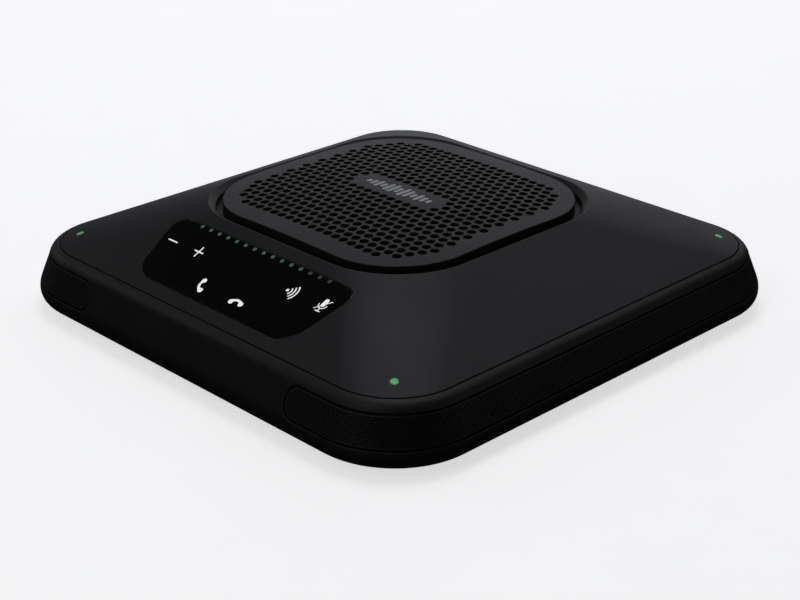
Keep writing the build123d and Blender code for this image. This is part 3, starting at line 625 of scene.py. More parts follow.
def facing_profile(points, left):
    """Section with hard corners: each straight run gets its own facing. left says that the outside
    is to the left of the way the section is drawn."""
    section = []
    for (w0, z0), (w1, z1) in zip(points, points[1:]):
        run = Vector((w1 - w0, z1 - z0)).normalized()
        facing = Vector((-run.y, run.x)) if left else Vector((run.y, -run.x))
        section += [(w0, z0, facing), (w1, z1, facing)]
    return section


def carry_loop(skin, loop, reference, ring, section):
    """Carries a section round a loop in plan, which lies at the half-width reference. The section starts
    at a ring of vertices that is already there."""
    before = None
    for half, z, facing in section:
        following = []
        for u, v, nu, nv in loop:
            place = Vector((u + nu * (half - reference), v + nv * (half - reference), z))
            following.append(skin.vertex(place, Vector((nu * facing[0], nv * facing[0], facing[1]))))
        if before != (half, z):
            skin.band(ring, following)
        ring = following
        before = (half, z)


def arc_section(centre, radius, start, end, count):
    """Section along an arc, with its facings. Angles are in radians above the outward direction."""
    section = []
    for i in range(count + 1):
        a = start + (end - start) * i / count
        facing = Vector((cos(a), sin(a)))
        section.append((centre[0] + radius * cos(a), centre[1] + radius * sin(a), facing))
    return section


def mesh_loop(grow, spacing=1.6):
    """Outline of the right-hand mesh strip, as distance round the wall and height."""
    low = (MESH_END_X - grow, MESH_LOW_Z - grow)
    high = (ROUND / 2 - MESH_END_X + grow, MESH_HIGH_Z + grow)
    return box_loop(low, high, MESH_END_R + grow, 10, spacing)


def shifted(loop, by):
    """Loop moved along the wall."""
    return [(u + by, v, nu, nv) for u, v, nu, nv in loop]


def window_loop():
    """Outline of the port window in the middle of the rear."""
    low = (ROUND / 2 - WINDOW_HALF, WINDOW_LOW_Z)
    high = (ROUND / 2 + WINDOW_HALF, WINDOW_HIGH_Z)
    return box_loop(low, high, WINDOW_R, 8, 4.0)


def add_window_sleeve(skin, window, last):
    """Runs from the window's edge in to the port panel and back to the inside of the wall."""
    inner_ring = []
    outer_ring = []
    for u, v, nu, nv in window:
        inward = Vector((nu, 0, -nv))
        x = ROUND / 2 - u
        inner_ring.append(skin.vertex(Vector((x, PORT_FACE_Y, v)), inward))
        place = Vector((x - nu * SLEEVE_T, PORT_FACE_Y, v + nv * SLEEVE_T))
        outer_ring.append(skin.vertex(place, -inward))
    skin.band(last, inner_ring)
    skin.band(inner_ring, outer_ring)
    back_ring = skin.rim(wall_surface, window, [(SLEEVE_T, WALL_T, 270.0)])[0]
    skin.band(outer_ring, back_ring)


def shoulder_section():
    """Over the shoulder to the seam, down to the ledge that the cover rests on, and back inside."""
    slope_normal = pi / 2 - SLOPE
    start_angle = asin((FIELD_HIGH_Z - SHOULDER_Z) / SHOULDER_R)
    shoulder = arc_section((SHOULDER_HALF, SHOULDER_Z), SHOULDER_R, start_angle, slope_normal, 8)[1:]
    end_half, end_z, _ = shoulder[-1]
    seam_half = SEAM_HALF + SEAM_R
    seam_z = end_z + (end_half - seam_half) * tan(SLOPE) - SEAM_R / cos(SLOPE)
    shoulder += arc_section((seam_half, seam_z), SEAM_R, slope_normal, pi, 5)
    inner_half = wall_half(FIELD_HIGH_Z) - WALL_T * cos(start_angle)
    inner_z = FIELD_HIGH_Z - WALL_T * sin(start_angle)
    ledge_half, ledge_low_z = SEAM_HALF - LEDGE_REACH, LEDGE_Z - LEDGE_T
    ledge = [(SEAM_HALF, seam_z), (SEAM_HALF, LEDGE_Z), (ledge_half, LEDGE_Z)]
    ledge += [(ledge_half, ledge_low_z), (SEAM_HALF, ledge_low_z), (inner_half, inner_z)]
    return shoulder + facing_profile(ledge, False)


def base_section():
    """Down the belly, round the base and up inside the rim that the bottom cover sits in."""
    base = [(wall_half(WIDEST_Z), WIDEST_Z, Vector((1, 0)))]
    drop = WIDEST_Z - BASE_Z
    for i in range(1, 11):
        a = pi / 2 * i / 10
        half = HALF_WIDTH - BASE_CURVE_W + BASE_CURVE_W * cos(a)
        facing = Vector((cos(a) / BASE_CURVE_W, -sin(a) / drop)).normalized()
        base.append((half, WIDEST_Z - drop * sin(a), facing))
    rim_half = box_mm("bottom_cover")[1].x + BASE_RIM_GAP
    rim_z = BASE_Z + BASE_RIM_R
    rim = arc_section((rim_half + BASE_RIM_R, rim_z), BASE_RIM_R, -pi / 2, -pi, 4)
    inside = [(rim_half, rim_z), (rim_half, BASE_INSIDE_Z)]
    inside += [(HALF_WIDTH - 8, BASE_INSIDE_Z), (wall_half(FIELD_LOW_Z) - WALL_T, FIELD_LOW_Z)]
    return base + rim + facing_profile(inside, True)


def make_wall(material):
    """Side frame: leaning wall with two recessed channels, a port window, shoulder and base."""
    skin = Skin()
    stations = wall_stations()
    low_z, high_z = FIELD_LOW_Z, FIELD_HIGH_Z
    rows = [low_z + (high_z - low_z) * i / 12 for i in range(13)]
    grid = {}
    seam = [(0.0, z) for z in rows[1:-1]]
    for place in [(s, z) for s in stations for z in (low_z, high_z)] + seam:
        point, normal, _, _ = wall_surface(*place)
        grid[place] = skin.vertex(point, normal)
    outer = [(s, low_z) for s in stations] + [(ROUND, z) for z in rows]
    outer += [(s, high_z) for s in reversed(stations)] + seam[::-1]
    ring = [grid[s % ROUND, z] for s, z in outer]

    channels = [mesh_loop(CHANNEL_GAP), shifted(mesh_loop(CHANNEL_GAP), ROUND / 2)]
    window = window_loop()
    edges = [(outer, ring)]
    for channel in channels:
        edges.append(skin.edge(wall_surface, channel, rounded_edge(CHANNEL_EDGE_R, CHANNEL_DEPTH)))
        floor_edge = skin.edge(wall_surface, channel, [(0.0, CHANNEL_DEPTH, 0.0)])
        floor_points = [(s, z) for s in stations for z in rows if inside_loop(s, z, channel, -0.8)]
        skin.fill(wall_surface, [floor_edge], floor_points, CHANNEL_DEPTH)
    first, last = skin.rim(wall_surface, window, rounded_edge(WINDOW_EDGE_R, WINDOW_EDGE_R, 4))
    edges.append((plan_of(window, WINDOW_EDGE_R), first))
    add_window_sleeve(skin, window, last)

    taken = channels + [window]
    places = [(s, z) for s in stations for z in rows[1:-1] if s]
    spread = [p for p in places if not any(inside_loop(*p, loop, FIELD_MARGIN) for loop in taken)]
    skin.fill(wall_surface, edges, spread)

    # The inside of the wall is the same surface, a wall's thickness further in.
    inner = {}
    for s, z in grid:
        point, normal, _, _ = wall_surface(s, z)
        inner[s, z] = skin.vertex(point - normal * WALL_T, -normal)
    inner_edge = [inner[s % ROUND, z] for s, z in outer]
    places = [(s, z) for s in stations for z in rows[1:-1:3] if s]
    inner_points = [p for p in places if not inside_loop(*p, window, 2.0)]
    inner_loops = [(outer, inner_edge), skin.under(wall_surface, window, SLEEVE_T, WALL_T)]
    skin.fill(wall_surface, inner_loops, inner_points, WALL_T, -1)

    plan = [(*base, *normal) for base, normal in map(station, stations)]
    top_ring, base_ring = ([grid[s, z] for s in stations] for z in (high_z, low_z))
    carry_loop(skin, plan, CORNER_AT, top_ring, shoulder_section())
    carry_loop(skin, plan, CORNER_AT, base_ring, base_section())
    skin.piece("housing_wall", "housing", material, "housing_plastic", ["side_frame"])


# ---------------------------------------------------------------- side mesh

CELL_PITCH = 1.05
CELL_ROWS = 12
CELL_R = 0.37
CELL_LIP = 0.08
SCALLOP = 0.1
# The strip lies a little under the wall's surface. Its edge rows keep clear of its border.
STRIP_UNDER = 0.1
STRIP_T = 0.95
STRIP_EDGE_R = 0.4
STRIP_BORDER = 0.85
CELL_MARGIN = 1.1


def scalloped(u, v, nu, nv):
    """Border point on the wavy line that the edge row of holes leaves along the strip's long sides."""
    wave = SCALLOP * abs(nv) * cos(2 * pi * u / CELL_PITCH)
    return u, v + nv * (wave - SCALLOP), nu, nv


def hexagon_loop(s, z):
    """Outline of one hole."""
    angles = [pi / 6 + pi / 3 * k for k in range(6)]
    return [(s + CELL_R * cos(a), z + CELL_R * sin(a), cos(a), sin(a)) for a in angles]


def make_side_mesh(side, material):
    """Fine perforated strip: staggered six-sided holes with soft edges, and a rolled border."""
    skin = Skin()
    shift = 0.0 if side == "right" else ROUND / 2

    def strip_at(s, z):
        point, normal, _, _ = wall_surface(s, z)
        return point - normal * STRIP_UNDER

    surface = smooth_surface(strip_at)
    outline = shifted(mesh_loop(0.0, 8.0), shift)
    border = [scalloped(*point) for point in shifted(mesh_loop(0.0, 0.26), shift)]
    edges = [skin.edge(surface, border, rounded_edge(STRIP_EDGE_R, STRIP_T, 4), hole=False)]
    backs = [skin.under(surface, border, 0.0, STRIP_T, hole=False)]
    row_pitch = (MESH_HIGH_Z - MESH_LOW_Z - 2 * STRIP_BORDER) / CELL_ROWS
    count = int((ROUND / 2 - 2 * MESH_END_X) / CELL_PITCH)
    steps = [(CELL_LIP, 0.0, 0.0), (0.0, 0.1, 60.0), (0.0, STRIP_T, 90.0)]
    for row in range(CELL_ROWS):
        z = MESH_LOW_Z + STRIP_BORDER + row_pitch * (row + 0.5)
        for column in range(count):
            s = shift + ROUND / 4 + (column - (count - 1) / 2 + 0.5 * (row % 2)) * CELL_PITCH
            if inside_loop(s, z, outline, -CELL_MARGIN):
                cell = hexagon_loop(s, z)
                edges.append(skin.edge(surface, cell, steps))
                backs.append(skin.under(surface, cell, 0.0, STRIP_T))
    skin.fill(surface, edges)
    skin.fill(surface, backs, (), STRIP_T, -1)
    skin.piece("perforated_strip_" + side, "housing", material, "side_mesh", ["side_mesh_" + side])


# ---------------------------------------------------------------- top cover

RECESS_HALF = 64.6
RECESS_Z = 42.2
RECESS_CENTRE_AT = 30.8
RECESS_LEAN = radians(52.0)
COVER_T = 2.2
PANEL_GAP = 0.15
PANEL_LEDGE = 3.0
POCKET_DEPTH = 1.3
POCKET_EDGE_R = 0.2
INDICATOR_AT = sum(corner.x for corner in box_mm("light_pipe_front_right")) / 2
INDICATOR_R = 1.6
INDICATOR_GAP = 0.12
LENS_SIDES = 32
LIP_ROUNDING_R = 0.8
LIP_FLAT = 0.2
GUARD_OUT = 2.2
GUARD_HIGH_Z = 43.0
FLOOR_HALF = 50.0
LIP_UNDER = 0.6
CORNERS = {
    "front_left": (-1, -1),
    "front_right": (1, -1),
    "rear_right": (1, 1),
    "rear_left": (-1, 1),
}


def deck_share(x, y):
    """How far up the deck a plan point lies: 0 at the cover's edge and 1 at the recess lip."""
    far, near = max(abs(x), abs(y)), min(abs(x), abs(y))
    share = (COVER_HALF - far) / (COVER_HALF - LIP_HALF)
    lip_centre = LIP_HALF - LIP_R

    def centre(t):
        return CORNER_AT + (lip_centre - CORNER_AT) * t

    if near <= centre(share):
        return share
    low, high = -0.3, 1.3
    for _ in range(26):
        t = (low + high) / 2
        half = COVER_HALF + (LIP_HALF - COVER_HALF) * t
        past = hypot(max(0.0, far - centre(t)), max(0.0, near - centre(t))) - (half - centre(t))
        low, high = (t, high) if past < 0 else (low, t)
    return (low + high) / 2


def deck_at(x, y):
    """Point of the deck above a plan point."""
    return Vector((x, y, COVER_EDGE_Z + (LIP_Z - COVER_EDGE_Z) * deck_share(x, y)))


deck_surface = smooth_surface(deck_at)

PANEL_LOW_V = 6.3
PANEL_HIGH_V = 40.3
PANEL_LOW_HALF = 46.2
PANEL_HIGH_HALF = 55.1
PANEL_RADII = [10.3, 10.3, 5.2, 5.2]
PANEL_T = 1.25
PANEL_EDGE_R = 0.25


def up_slope(u, v):
    """Plan point of a place on the front slope, v up the slope from the cover's edge."""
    return u, -COVER_HALF + v * cos(SLOPE)


def panel_loop(grow):
    """Outline of the touch panel in plan."""
    corners = [
        up_slope(-PANEL_LOW_HALF, PANEL_LOW_V),
        up_slope(PANEL_LOW_HALF, PANEL_LOW_V),
        up_slope(PANEL_HIGH_HALF, PANEL_HIGH_V),
        up_slope(-PANEL_HIGH_HALF, PANEL_HIGH_V),
    ]
    loop = polygon_loop(corners, PANEL_RADII, 14, 3.0)
    return [(u + nu * grow, v + nv * grow, nu, nv) for u, v, nu, nv in loop]


def cover_loop():
    """Outline of the top cover in plan."""
    return square_loop(COVER_HALF, COVER_HALF - CORNER_AT, 28, 9.0)


def deck_points(avoid):
    """Points on the deck's own rulings, away from the edges of its openings."""
    corner_r = COVER_HALF - CORNER_AT
    lip_centre = LIP_HALF - LIP_R
    points = []
    for x, y, nx, ny in cover_loop():
        base = (x - nx * corner_r, y - ny * corner_r)
        inner_x = base[0] * lip_centre / CORNER_AT + nx * LIP_R
        inner_y = base[1] * lip_centre / CORNER_AT + ny * LIP_R
        for k in range(1, 14):
            t = k / 14
            point = (x + (inner_x - x) * t, y + (inner_y - y) * t)
            if not any(inside_loop(*point, loop, FIELD_MARGIN) for loop in avoid):
                points.append(point)
    return points


def recess_section():
    """From the deck over the lip, down the recess wall and in along the floor under the grille."""
    deck_normal = pi / 2 - SLOPE
    wall_normal = pi - RECESS_LEAN
    # The rounding's centre lies a radius under the deck and a radius behind the recess wall.
    reach = LIP_ROUNDING_R * tan((wall_normal - deck_normal) / 2)
    deck_way = Vector((cos(SLOPE), -sin(SLOPE)))
    tangent = Vector((LIP_HALF - LIP_FLAT, LIP_Z)) + deck_way * reach
    centre = tangent - Vector((cos(deck_normal), sin(deck_normal))) * LIP_ROUNDING_R
    rounding = arc_section(centre, LIP_ROUNDING_R, deck_normal, wall_normal, 6)
    top_half, top_z, _ = rounding[-1]
    foot_z = top_z - (top_half - RECESS_HALF) / tan(RECESS_LEAN)
    guard_half, under_z = RECESS_HALF + GUARD_OUT, RECESS_Z - COVER_T
    floor = [(top_half, top_z), (RECESS_HALF, foot_z), (RECESS_HALF, RECESS_Z), (FLOOR_HALF, RECESS_Z)]
    floor += [(FLOOR_HALF, under_z), (guard_half, under_z), (guard_half, GUARD_HIGH_Z)]
    return rounding + facing_profile(floor, False)


def make_deck(material):
    """Top cover: sloping deck, recess for the grille, pocket for the panel, windows for the lights."""
    skin = Skin()
    outer = cover_loop()
    first, last = skin.rim(deck_surface, outer, rounded_edge(SEAM_R, SEAM_R, 4), hole=False)
    edges = [(plan_of(outer, -SEAM_R), first)]
    under = COVER_T / cos(SLOPE)
    skirt_half = COVER_HALF - COVER_T
    skirt_z = COVER_EDGE_Z + COVER_T * tan(SLOPE) - under
    skirt = [(COVER_HALF, COVER_EDGE_Z - SEAM_R), (COVER_HALF, LEDGE_Z)]
    skirt += [(skirt_half, LEDGE_Z), (skirt_half, skirt_z)]
    carry_loop(skin, outer, COVER_HALF, last, facing_profile(skirt, True))

    lip = square_loop(LIP_HALF, LIP_HALF - RECESS_CENTRE_AT, 24, 8.0)
    section = recess_section()
    edges.append(skin.edge(deck_surface, lip, [(section[0][0] - LIP_HALF, 0.0, 0.0)]))
    carry_loop(skin, lip, LIP_HALF, edges[-1][1], section[1:])

    pocket = panel_loop(PANEL_GAP)
    ledge_in = -PANEL_LEDGE - PANEL_GAP
    steps = rounded_edge(POCKET_EDGE_R, POCKET_DEPTH)
    steps += [(0.0, POCKET_DEPTH, 0.0), (ledge_in, POCKET_DEPTH, 0.0)]
    steps += [(ledge_in, POCKET_DEPTH, 90.0), (ledge_in, COVER_T, 90.0)]
    edges.append(skin.edge(deck_surface, pocket, steps))
    under_edges = [skin.under(deck_surface, pocket, ledge_in, COVER_T)]
    avoid = [pocket]
    for x, y in CORNERS.values():
        light = circle_loop(x * INDICATOR_AT, y * INDICATOR_AT, INDICATOR_R + INDICATOR_GAP, LENS_SIDES)
        edges.append(skin.edge(deck_surface, light, rounded_edge(INDICATOR_GAP, COVER_T)))
        under_edges.append(skin.under(deck_surface, light, 0.0, COVER_T))
        avoid.append(light)
    spread = deck_points(avoid)
    skin.fill(deck_surface, edges, [p for p in spread if deck_share(*p) < 0.95])
    outer_under = skin.under(deck_surface, outer, COVER_T, COVER_T, hole=False)
    loops = [outer_under, skin.under(deck_surface, lip, LIP_UNDER, COVER_T)] + under_edges
    skin.fill(deck_surface, loops, [p for p in spread if 0.1 < deck_share(*p) < 0.9], COVER_T, -1)
    skin.piece("deck", "housing", material, "housing_plastic", ["top_cover"])


def make_panel(material):
    """Touch panel: a polished plate that follows the deck, with a fine rounded edge."""
    skin = Skin()
    loop = panel_loop(0.0)
    top = skin.edge(deck_surface, loop, rounded_edge(PANEL_EDGE_R, PANEL_T, 4), hole=False)
    spread = [p for p in deck_points([]) if inside_loop(*p, loop, -FIELD_MARGIN)]
    skin.fill(deck_surface, [top], spread)
    under = skin.under(deck_surface, loop, 0.0, PANEL_T, hole=False)
    skin.fill(deck_surface, [under], spread, PANEL_T, -1)
    skin.piece("touch_plate", "housing", material, "panel_gloss", ["touch_panel"])


# ---------------------------------------------------------------- printed symbols and lights


def slope_surface(lift):
    """The front slope in u and v, a little above the panel."""

    def at(u, v):
        x, y = up_slope(u, v)
        return deck_at(x, y) + Vector((0, -sin(SLOPE), cos(SLOPE))) * lift

    return smooth_surface(at)


def add_print(skin, surface, loop, thickness):
    """A thin printed shape with a soft edge."""
    edge = min(0.02, thickness / 2)
    steps = [(edge, 0.0, 0.0), (0.0, edge, 60.0), (0.0, thickness, 90.0)]
    skin.fill(surface, [skin.edge(surface, loop, steps, hole=False)])


def stroke_loop(points, widths, cap_steps=6):
    """Outline of a brush stroke along points, with round ends. Its width may change on the way."""
    count = len(points)
    ways = []
    for i in range(count):
        before = Vector(points[max(0, i - 1)])
        after = Vector(points[min(count - 1, i + 1)])
        ways.append((after - before).normalized())

    def beside(i, nu, nv):
        """Outline point half a width away from a point of the stroke."""
        u, v = points[i]
        return u + nu * widths[i] / 2, v + nv * widths[i] / 2, nu, nv

    def cap(end, sign):
        start = atan2(-ways[end].x * sign, ways[end].y * sign)
        angles = [start + pi * k / cap_steps for k in range(1, cap_steps)]
        return [beside(end, cos(a), sin(a)) for a in angles]

    out = [beside(i, ways[i].y, -ways[i].x) for i in range(count)]
    back = [beside(i, -ways[i].y, ways[i].x) for i in reversed(range(count))]
    return out + cap(count - 1, 1) + back + cap(0, -1)


def line_loop(start, end, width):
    """Outline of a straight stroke."""
    return stroke_loop([start, end], [width, width])


def arc_loop(centre, radius, start, end, width):
    """Outline of a stroke along an arc, with its angles in degrees."""
    steps = 12
    points = []
    for k in range(steps + 1):
        a = radians(start + (end - start) * k / steps)
        points.append((centre[0] + radius * cos(a), centre[1] + radius * sin(a)))
    return stroke_loop(points, [width] * len(points), 4)


def handset_loop(centre, radius, start, sweep):
    """A telephone handset seen from the side: a bowed grip that swells at both ends."""
    points = []
    widths = []
    steps = 24
    for k in range(steps + 1):
        share = k / steps
        a = radians(start + sweep * share)
        end = abs(2 * share - 1)
        points.append((centre[0] + radius * cos(a), centre[1] + radius * sin(a)))
        widths.append(1.15 + 1.35 * max(0.0, (end - 0.45) / 0.55) ** 1.5)
    return stroke_loop(points, widths, 8)


SYMBOL_LIFT = 0.03
SYMBOL_T = SYMBOL_LIFT + 0.02
STROKE = 0.62
FINE_STROKE = 0.42
HANDSET_R = 3.15


def symbol_loops():
    """Outlines of the key symbols in u and v on the front slope, each under its key's name."""
    across, upright = ((-30.5, 27.2), (-25.5, 27.2)), ((-28.0, 24.5), (-28.0, 29.9))
    waves = [arc_loop((25.6, 27.8), r, -40, 40, STROKE) for r in (2.2, 3.7, 5.2)]
    microphone = [
        stroke_loop([(45.7, 28.2), (45.7, 30.4)], [2.1, 2.1], 10),
        arc_loop((45.7, 28.4), 2.1, 185, 355, FINE_STROKE),
        line_loop((45.7, 26.2), (45.7, 25.0), FINE_STROKE),
        line_loop((44.6, 24.8), (46.8, 24.8), 0.5),
        line_loop((43.2, 25.4), (48.3, 31.0), FINE_STROKE),
    ]
    return {
        "volume_down": [line_loop((-47.4, 27.0), (-42.1, 27.0), STROKE)],
        "volume_up": [line_loop(*bar, STROKE) for bar in (across, upright)],
        "answer": [handset_loop((-9.3, 14.65), HANDSET_R, 153, 110)],
        "hang_up": [handset_loop((10.75, 11.3), HANDSET_R, 151, -110)],
        "wireless": waves + [circle_loop(25.8, 27.8, 0.7, 20)],
        "mute": microphone,
    }


def make_symbols(material):
    """Printed key symbols on the touch panel."""
    surface = slope_surface(SYMBOL_LIFT)
    for name, loops in symbol_loops().items():
        skin = Skin()
        for loop in loops:
            add_print(skin, surface, loop, SYMBOL_T)
        skin.piece("symbol_" + name, "housing", material, "led_white")


DOT_COUNT = 15
DOT_PITCH = 5.53
DOT_V = 38.9
DOT_R = 0.92
LIT_DOTS = 12


def make_dots(lit_material, unlit_material):
    """Row of level lights along the panel's upper edge."""
    surface = slope_surface(SYMBOL_LIFT)
    for i in range(DOT_COUNT):
        skin = Skin()
        u = (i - (DOT_COUNT - 1) / 2) * DOT_PITCH
        add_print(skin, surface, circle_loop(u, DOT_V, DOT_R, 24), SYMBOL_T)
        on = i < LIT_DOTS
        # Dots that are off still glow faintly: their emission is a painted glow, not a lamp.
        material, slot = (lit_material, "indicator_lens") if on else (unlit_material, "led_white")
        skin.piece(f"level_light_{i + 1:02d}", "housing", material, slot)


LENS_BULGE = 0.22
LENS_SUNK = 0.05
LENS_DEPTH = 3.4


def make_indicators(material):
    """Four small domed lenses, one near each corner of the deck."""
    for name, (x, y) in CORNERS.items():
        skin = Skin()
        top, normal, along_x, along_y = deck_surface(x * INDICATOR_AT, y * INDICATOR_AT)
        ways = [along_x * cos(a) + along_y * sin(a) for a in around(LENS_SIDES)]
        rings = []
        for k in range(1, 8):
            share = k / 7
            rise = normal * (LENS_BULGE * (1 - share**2) - LENS_SUNK)
            tilt = 2 * LENS_BULGE * share / INDICATOR_R
            ring = []
            for away in ways:
                facing = (normal + away * tilt).normalized()
                ring.append(skin.vertex(top + away * (INDICATOR_R * share) + rise, facing))
            rings.append(ring)
        tip = skin.vertex(top + normal * (LENS_BULGE - LENS_SUNK), normal)
        skin.fan(tip, rings[0])
        for first, second in zip(rings, rings[1:]):
            skin.band(first, second)
        side_rings = []
        for depth in (LENS_SUNK, LENS_SUNK + LENS_DEPTH):
            centre = top - normal * depth
            side_rings.append([skin.vertex(centre + away * INDICATOR_R, away) for away in ways])
        skin.band(*side_rings)
        heel = skin.vertex(top - normal * (LENS_SUNK + LENS_DEPTH), -normal)
        skin.fan(heel, [skin.vertex(skin.points[i], -normal) for i in side_rings[1]])
        skin.piece("indicator_" + name, "housing", material, "indicator_lens", ["light_pipe_" + name])


# ---------------------------------------------------------------- speaker grille

GRILLE_HALF = box_mm("speaker_grille")[1].x
GRILLE_R = 35.4
GRILLE_TOP_Z = box_mm("speaker_grille")[1].z
GRILLE_LOW_Z = box_mm("speaker_grille")[0].z
DOME_R = 970.0
GRILLE_T = 1.6
GRILLE_RIM = 2.0
HOLE_R = 1.88
HOLE_PITCH = 4.63
HOLE_ROWS = 11
HOLE_COLUMNS = 12
HOLE_SIDES = 20
FIELD_HALF_X = 54.4
FIELD_HALF_Y = 52.0
FIELD_R = 16.8
BADGE_HALF = 5.25 * HOLE_PITCH
GRILLE_EDGE_R = 0.4
HOLE_EDGE_R = 0.15


def dome_surface(x, y):
    """Spherical top of the grille: point, normal and the two directions along it."""
    height = (DOME_R**2 - x**2 - y**2) ** 0.5
    normal = Vector((x, y, height)) / DOME_R
    along_x = Vector((height, 0, -x)).normalized()
    return Vector((x, y, GRILLE_TOP_Z - DOME_R + height)), normal, along_x, normal.cross(along_x)


def hole_places():
    """Staggered holes in a rounded rectangle, without the blank bar in the middle."""
    places = []
    for row in range(-HOLE_ROWS, HOLE_ROWS + 1):
        y = row * HOLE_PITCH
        for column in range(-HOLE_COLUMNS, HOLE_COLUMNS + 1):
            x = (column + 0.5 * (row % 2)) * HOLE_PITCH
            past_x = abs(x) - (FIELD_HALF_X - FIELD_R)
            past_y = abs(y) - (FIELD_HALF_Y - FIELD_R)
            in_field = abs(x) <= FIELD_HALF_X and abs(y) <= FIELD_HALF_Y
            in_corner = past_x <= 0 or past_y <= 0 or hypot(past_x, past_y) <= FIELD_R
            in_badge = abs(x) < BADGE_HALF and abs(row) <= 1
            if in_field and in_corner and not in_badge:
                places.append((x, y))
    return places


def make_grille(material):
    """Domed pressed plate with rolled edges and soft-edged round holes."""
    skin = Skin()
    outline = square_loop(GRILLE_HALF, GRILLE_R, 24, 5.0)
    roll = rounded_edge(GRILLE_EDGE_R, GRILLE_EDGE_R, 4)
    first, last = skin.rim(dome_surface, outline, roll, hole=False)
    wall, sole, sole_in, inner_wall, inner_top = [], [], [], [], []
    down = Vector((0, 0, -1))
    for u, v, nu, nv in outline:
        outer = Vector((u, v, GRILLE_LOW_Z))
        inner = Vector((u - nu * GRILLE_RIM, v - nv * GRILLE_RIM, GRILLE_LOW_Z))
        under, normal, _, _ = dome_surface(inner.x, inner.y)
        away = Vector((nu, nv, 0))
        wall.append(skin.vertex(outer, away))
        sole.append(skin.vertex(outer, down))
        sole_in.append(skin.vertex(inner, down))
        inner_wall.append(skin.vertex(inner, -away))
        inner_top.append(skin.vertex(under - normal * GRILLE_T, -away))
    skin.band(last, wall)
    skin.band(sole, sole_in)
    skin.band(inner_wall, inner_top)
    edges = [(plan_of(outline, -GRILLE_EDGE_R), first)]
    backs = [skin.under(dome_surface, outline, GRILLE_RIM, GRILLE_T, hole=False)]
    for x, y in hole_places():
        hole = circle_loop(x, y, HOLE_R, HOLE_SIDES)
        edges.append(skin.edge(dome_surface, hole, rounded_edge(HOLE_EDGE_R, GRILLE_T, 3)))
        backs.append(skin.under(dome_surface, hole, 0.0, GRILLE_T))
    skin.fill(dome_surface, edges)
    skin.fill(dome_surface, backs, (), GRILLE_T, -1)
    skin.piece("domed_grille", "housing", material, "grille_paint", ["speaker_grille"])


MARK_BARS = [3.2, 5.0, 6.6, 4.2, 7.4, 8.6, 5.4, 8.6, 7.4, 4.2, 6.6, 5.0, 3.2]
MARK_PITCH = 2.95
MARK_WIDTH = 1.9
MARK_LIFT = 0.02
MARK_T = 0.04


def make_mark(material):
    """Generic mark on the blank bar: a row of sound-level bars."""

    def surface(x, y):
        point, normal, along_x, along_y = dome_surface(x, y)
        return point + normal * MARK_LIFT, normal, along_x, along_y

    skin = Skin()
    for i, height in enumerate(MARK_BARS):
        x = (i - (len(MARK_BARS) - 1) / 2) * MARK_PITCH
        half = (height - MARK_WIDTH) / 2
        loop = stroke_loop([(x, -half), (x, half)], [MARK_WIDTH, MARK_WIDTH], 8)
        add_print(skin, surface, loop, MARK_T)
    skin.piece("sound_level_mark", "housing", material, "grille_paint")


# ---------------------------------------------------------------- feet

FOOT_GROOVE = 0.35
FOOT_EDGE_R = 0.8
FOOT_SIDES = 48


def make_feet(material):
    """Round rubber feet, each with a shallow dish and two ring grooves underneath."""
    for name in CORNERS:
        low, high = box_mm("foot_" + name)
        centre = (low + high) / 2
        radius = (high.x - low.x) / 2
        section = [(0.0, FOOT_GROOVE), (2.0, FOOT_GROOVE), (2.4, 0.0)]
        for start in (4.0, 7.0):
            section += [(start, 0.0), (start + 0.4, FOOT_GROOVE)]
            section += [(start + 1.0, FOOT_GROOVE), (start + 1.4, 0.0)]
        for a in map(radians, (0, 22, 45, 67, 90)):
            section.append((radius - FOOT_EDGE_R * (1 - sin(a)), FOOT_EDGE_R * (1 - cos(a))))
        section += [(radius, high.z), (0.0, high.z)]
        skin = Skin()
        for (r0, z0), (r1, z1) in zip(section, section[1:]):
            run = Vector((r1 - r0, z1 - z0)).normalized()
            rings = []
            for r, z in ((r0, z0), (r1, z1)):
                ring = []
                for a in around(FOOT_SIDES):
                    place = Vector((centre.x + r * cos(a), centre.y + r * sin(a), z))
                    ring.append(skin.vertex(place, Vector((cos(a) * run.y, sin(a) * run.y, -run.x))))
                rings.append(ring)
            skin.band(*rings)
        skin.piece("rubber_foot_" + name, "housing", material, "rubber_black", ["foot_" + name])


# ---------------------------------------------------------------- materials of the carried-over nodes


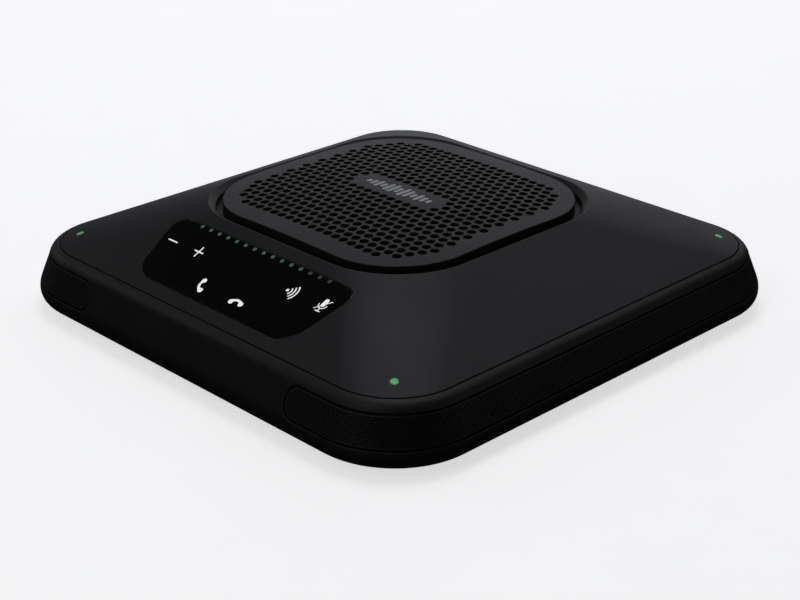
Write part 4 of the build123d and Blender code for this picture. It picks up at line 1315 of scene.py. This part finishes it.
def node_materials():
    """One material for each slot of the record that still shows a CAD node."""
    return {
        "housing_plastic": moulded("housing_plastic", (0.0085, 0.0088, 0.0098), 0.5, gloss=0.4),
        "lining_cloth": woven("lining_cloth", (0.003, 0.003, 0.0032)),
        "rubber_black": moulded("rubber_black", (0.012, 0.012, 0.012), 0.75, 900.0, 0.00005, 0.4),
        "mic_can": brushed("mic_can", (0.7, 0.7, 0.7)),
        "screw_steel": brushed("screw_steel", (0.5, 0.5, 0.5)),
        "circuit_board": moulded("circuit_board", (0.01, 0.09, 0.035), 0.35, 700.0, 0.00004, 0.3, 0.25),
        "chip_black": moulded("chip_black", (0.02, 0.02, 0.02), 0.5),
        "shield_can": brushed("shield_can", (0.6, 0.6, 0.6), 0.28),
        "led_white": moulded("led_white", (0.7, 0.7, 0.6), 0.3),
        "inner_plastic": moulded("inner_plastic", (0.02, 0.02, 0.02), 0.55),
        "speaker_frame": moulded("speaker_frame", (0.02, 0.02, 0.021), 0.4, 800.0),
        "magnetic_iron": brushed("magnetic_iron", (0.5, 0.5, 0.5)),
        "ferrite": moulded("ferrite", (0.04, 0.04, 0.045), 0.6, 500.0, 0.00008, 0.4),
        "coil_copper": brushed("coil_copper", (0.75, 0.35, 0.16), 0.3, 2500.0),
        "cone_paper": moulded("cone_paper", (0.016, 0.016, 0.016), 0.8, 600.0, 0.0001, 0.5),
        "spider_cloth": woven("spider_cloth", (0.35, 0.2, 0.08)),
        "battery_wrap": polished("battery_wrap", (0.03, 0.08, 0.25), 0.25),
        "port_plastic": moulded("port_plastic", (0.008, 0.008, 0.0085), 0.55),
        "socket_steel": brushed("socket_steel", (0.62, 0.62, 0.63)),
        "cable_jacket": moulded("cable_jacket", (0.03, 0.03, 0.03), 0.55),
        "indicator_lens": lit("indicator_lens", (0.1, 0.36, 0.14), (0.115, 0.4, 0.155), 0.48),
        "panel_gloss": polished("panel_gloss", (0.0042, 0.0042, 0.0052)),
        "grille_paint": moulded(
            "grille_paint", (0.0095, 0.0098, 0.0106), 0.5, 1600.0, 0.00002, 0.3, gloss=0.4
        ),
        "side_mesh": moulded("side_mesh", (0.0085, 0.0085, 0.0098), 0.5, 2500.0, 0.00002, 0.3, gloss=0.35),
    }


add_camera()
add_studio()
materials = node_materials()
for part in frame["record"]["subparts"]:
    shown = nodes[part["node"]].data.materials
    shown.clear()
    shown.append(materials[part["material_slot"]])

make_wall(materials["housing_plastic"])
make_deck(materials["housing_plastic"])
for side in ("left", "right"):
    make_side_mesh(side, materials["side_mesh"])
make_grille(materials["grille_paint"])
make_mark(moulded("mark_grey", (0.5, 0.505, 0.51), 0.5))
make_panel(materials["panel_gloss"])
make_symbols(lit("symbol_white", (0.8, 0.8, 0.8), (0.9, 0.9, 0.9), 0.75))
make_dots(
    lit("dot_green", (0.07, 0.11, 0.09), (0.055, 0.085, 0.07), 0.75),
    # The grey material for the dots that are off emits light: a painted glow on unlit prints.
    lit("dot_grey_painted_glow", (0.05, 0.05, 0.052), (0.035, 0.036, 0.037), 0.8),
)
make_indicators(materials["indicator_lens"])
make_feet(materials["rubber_black"])
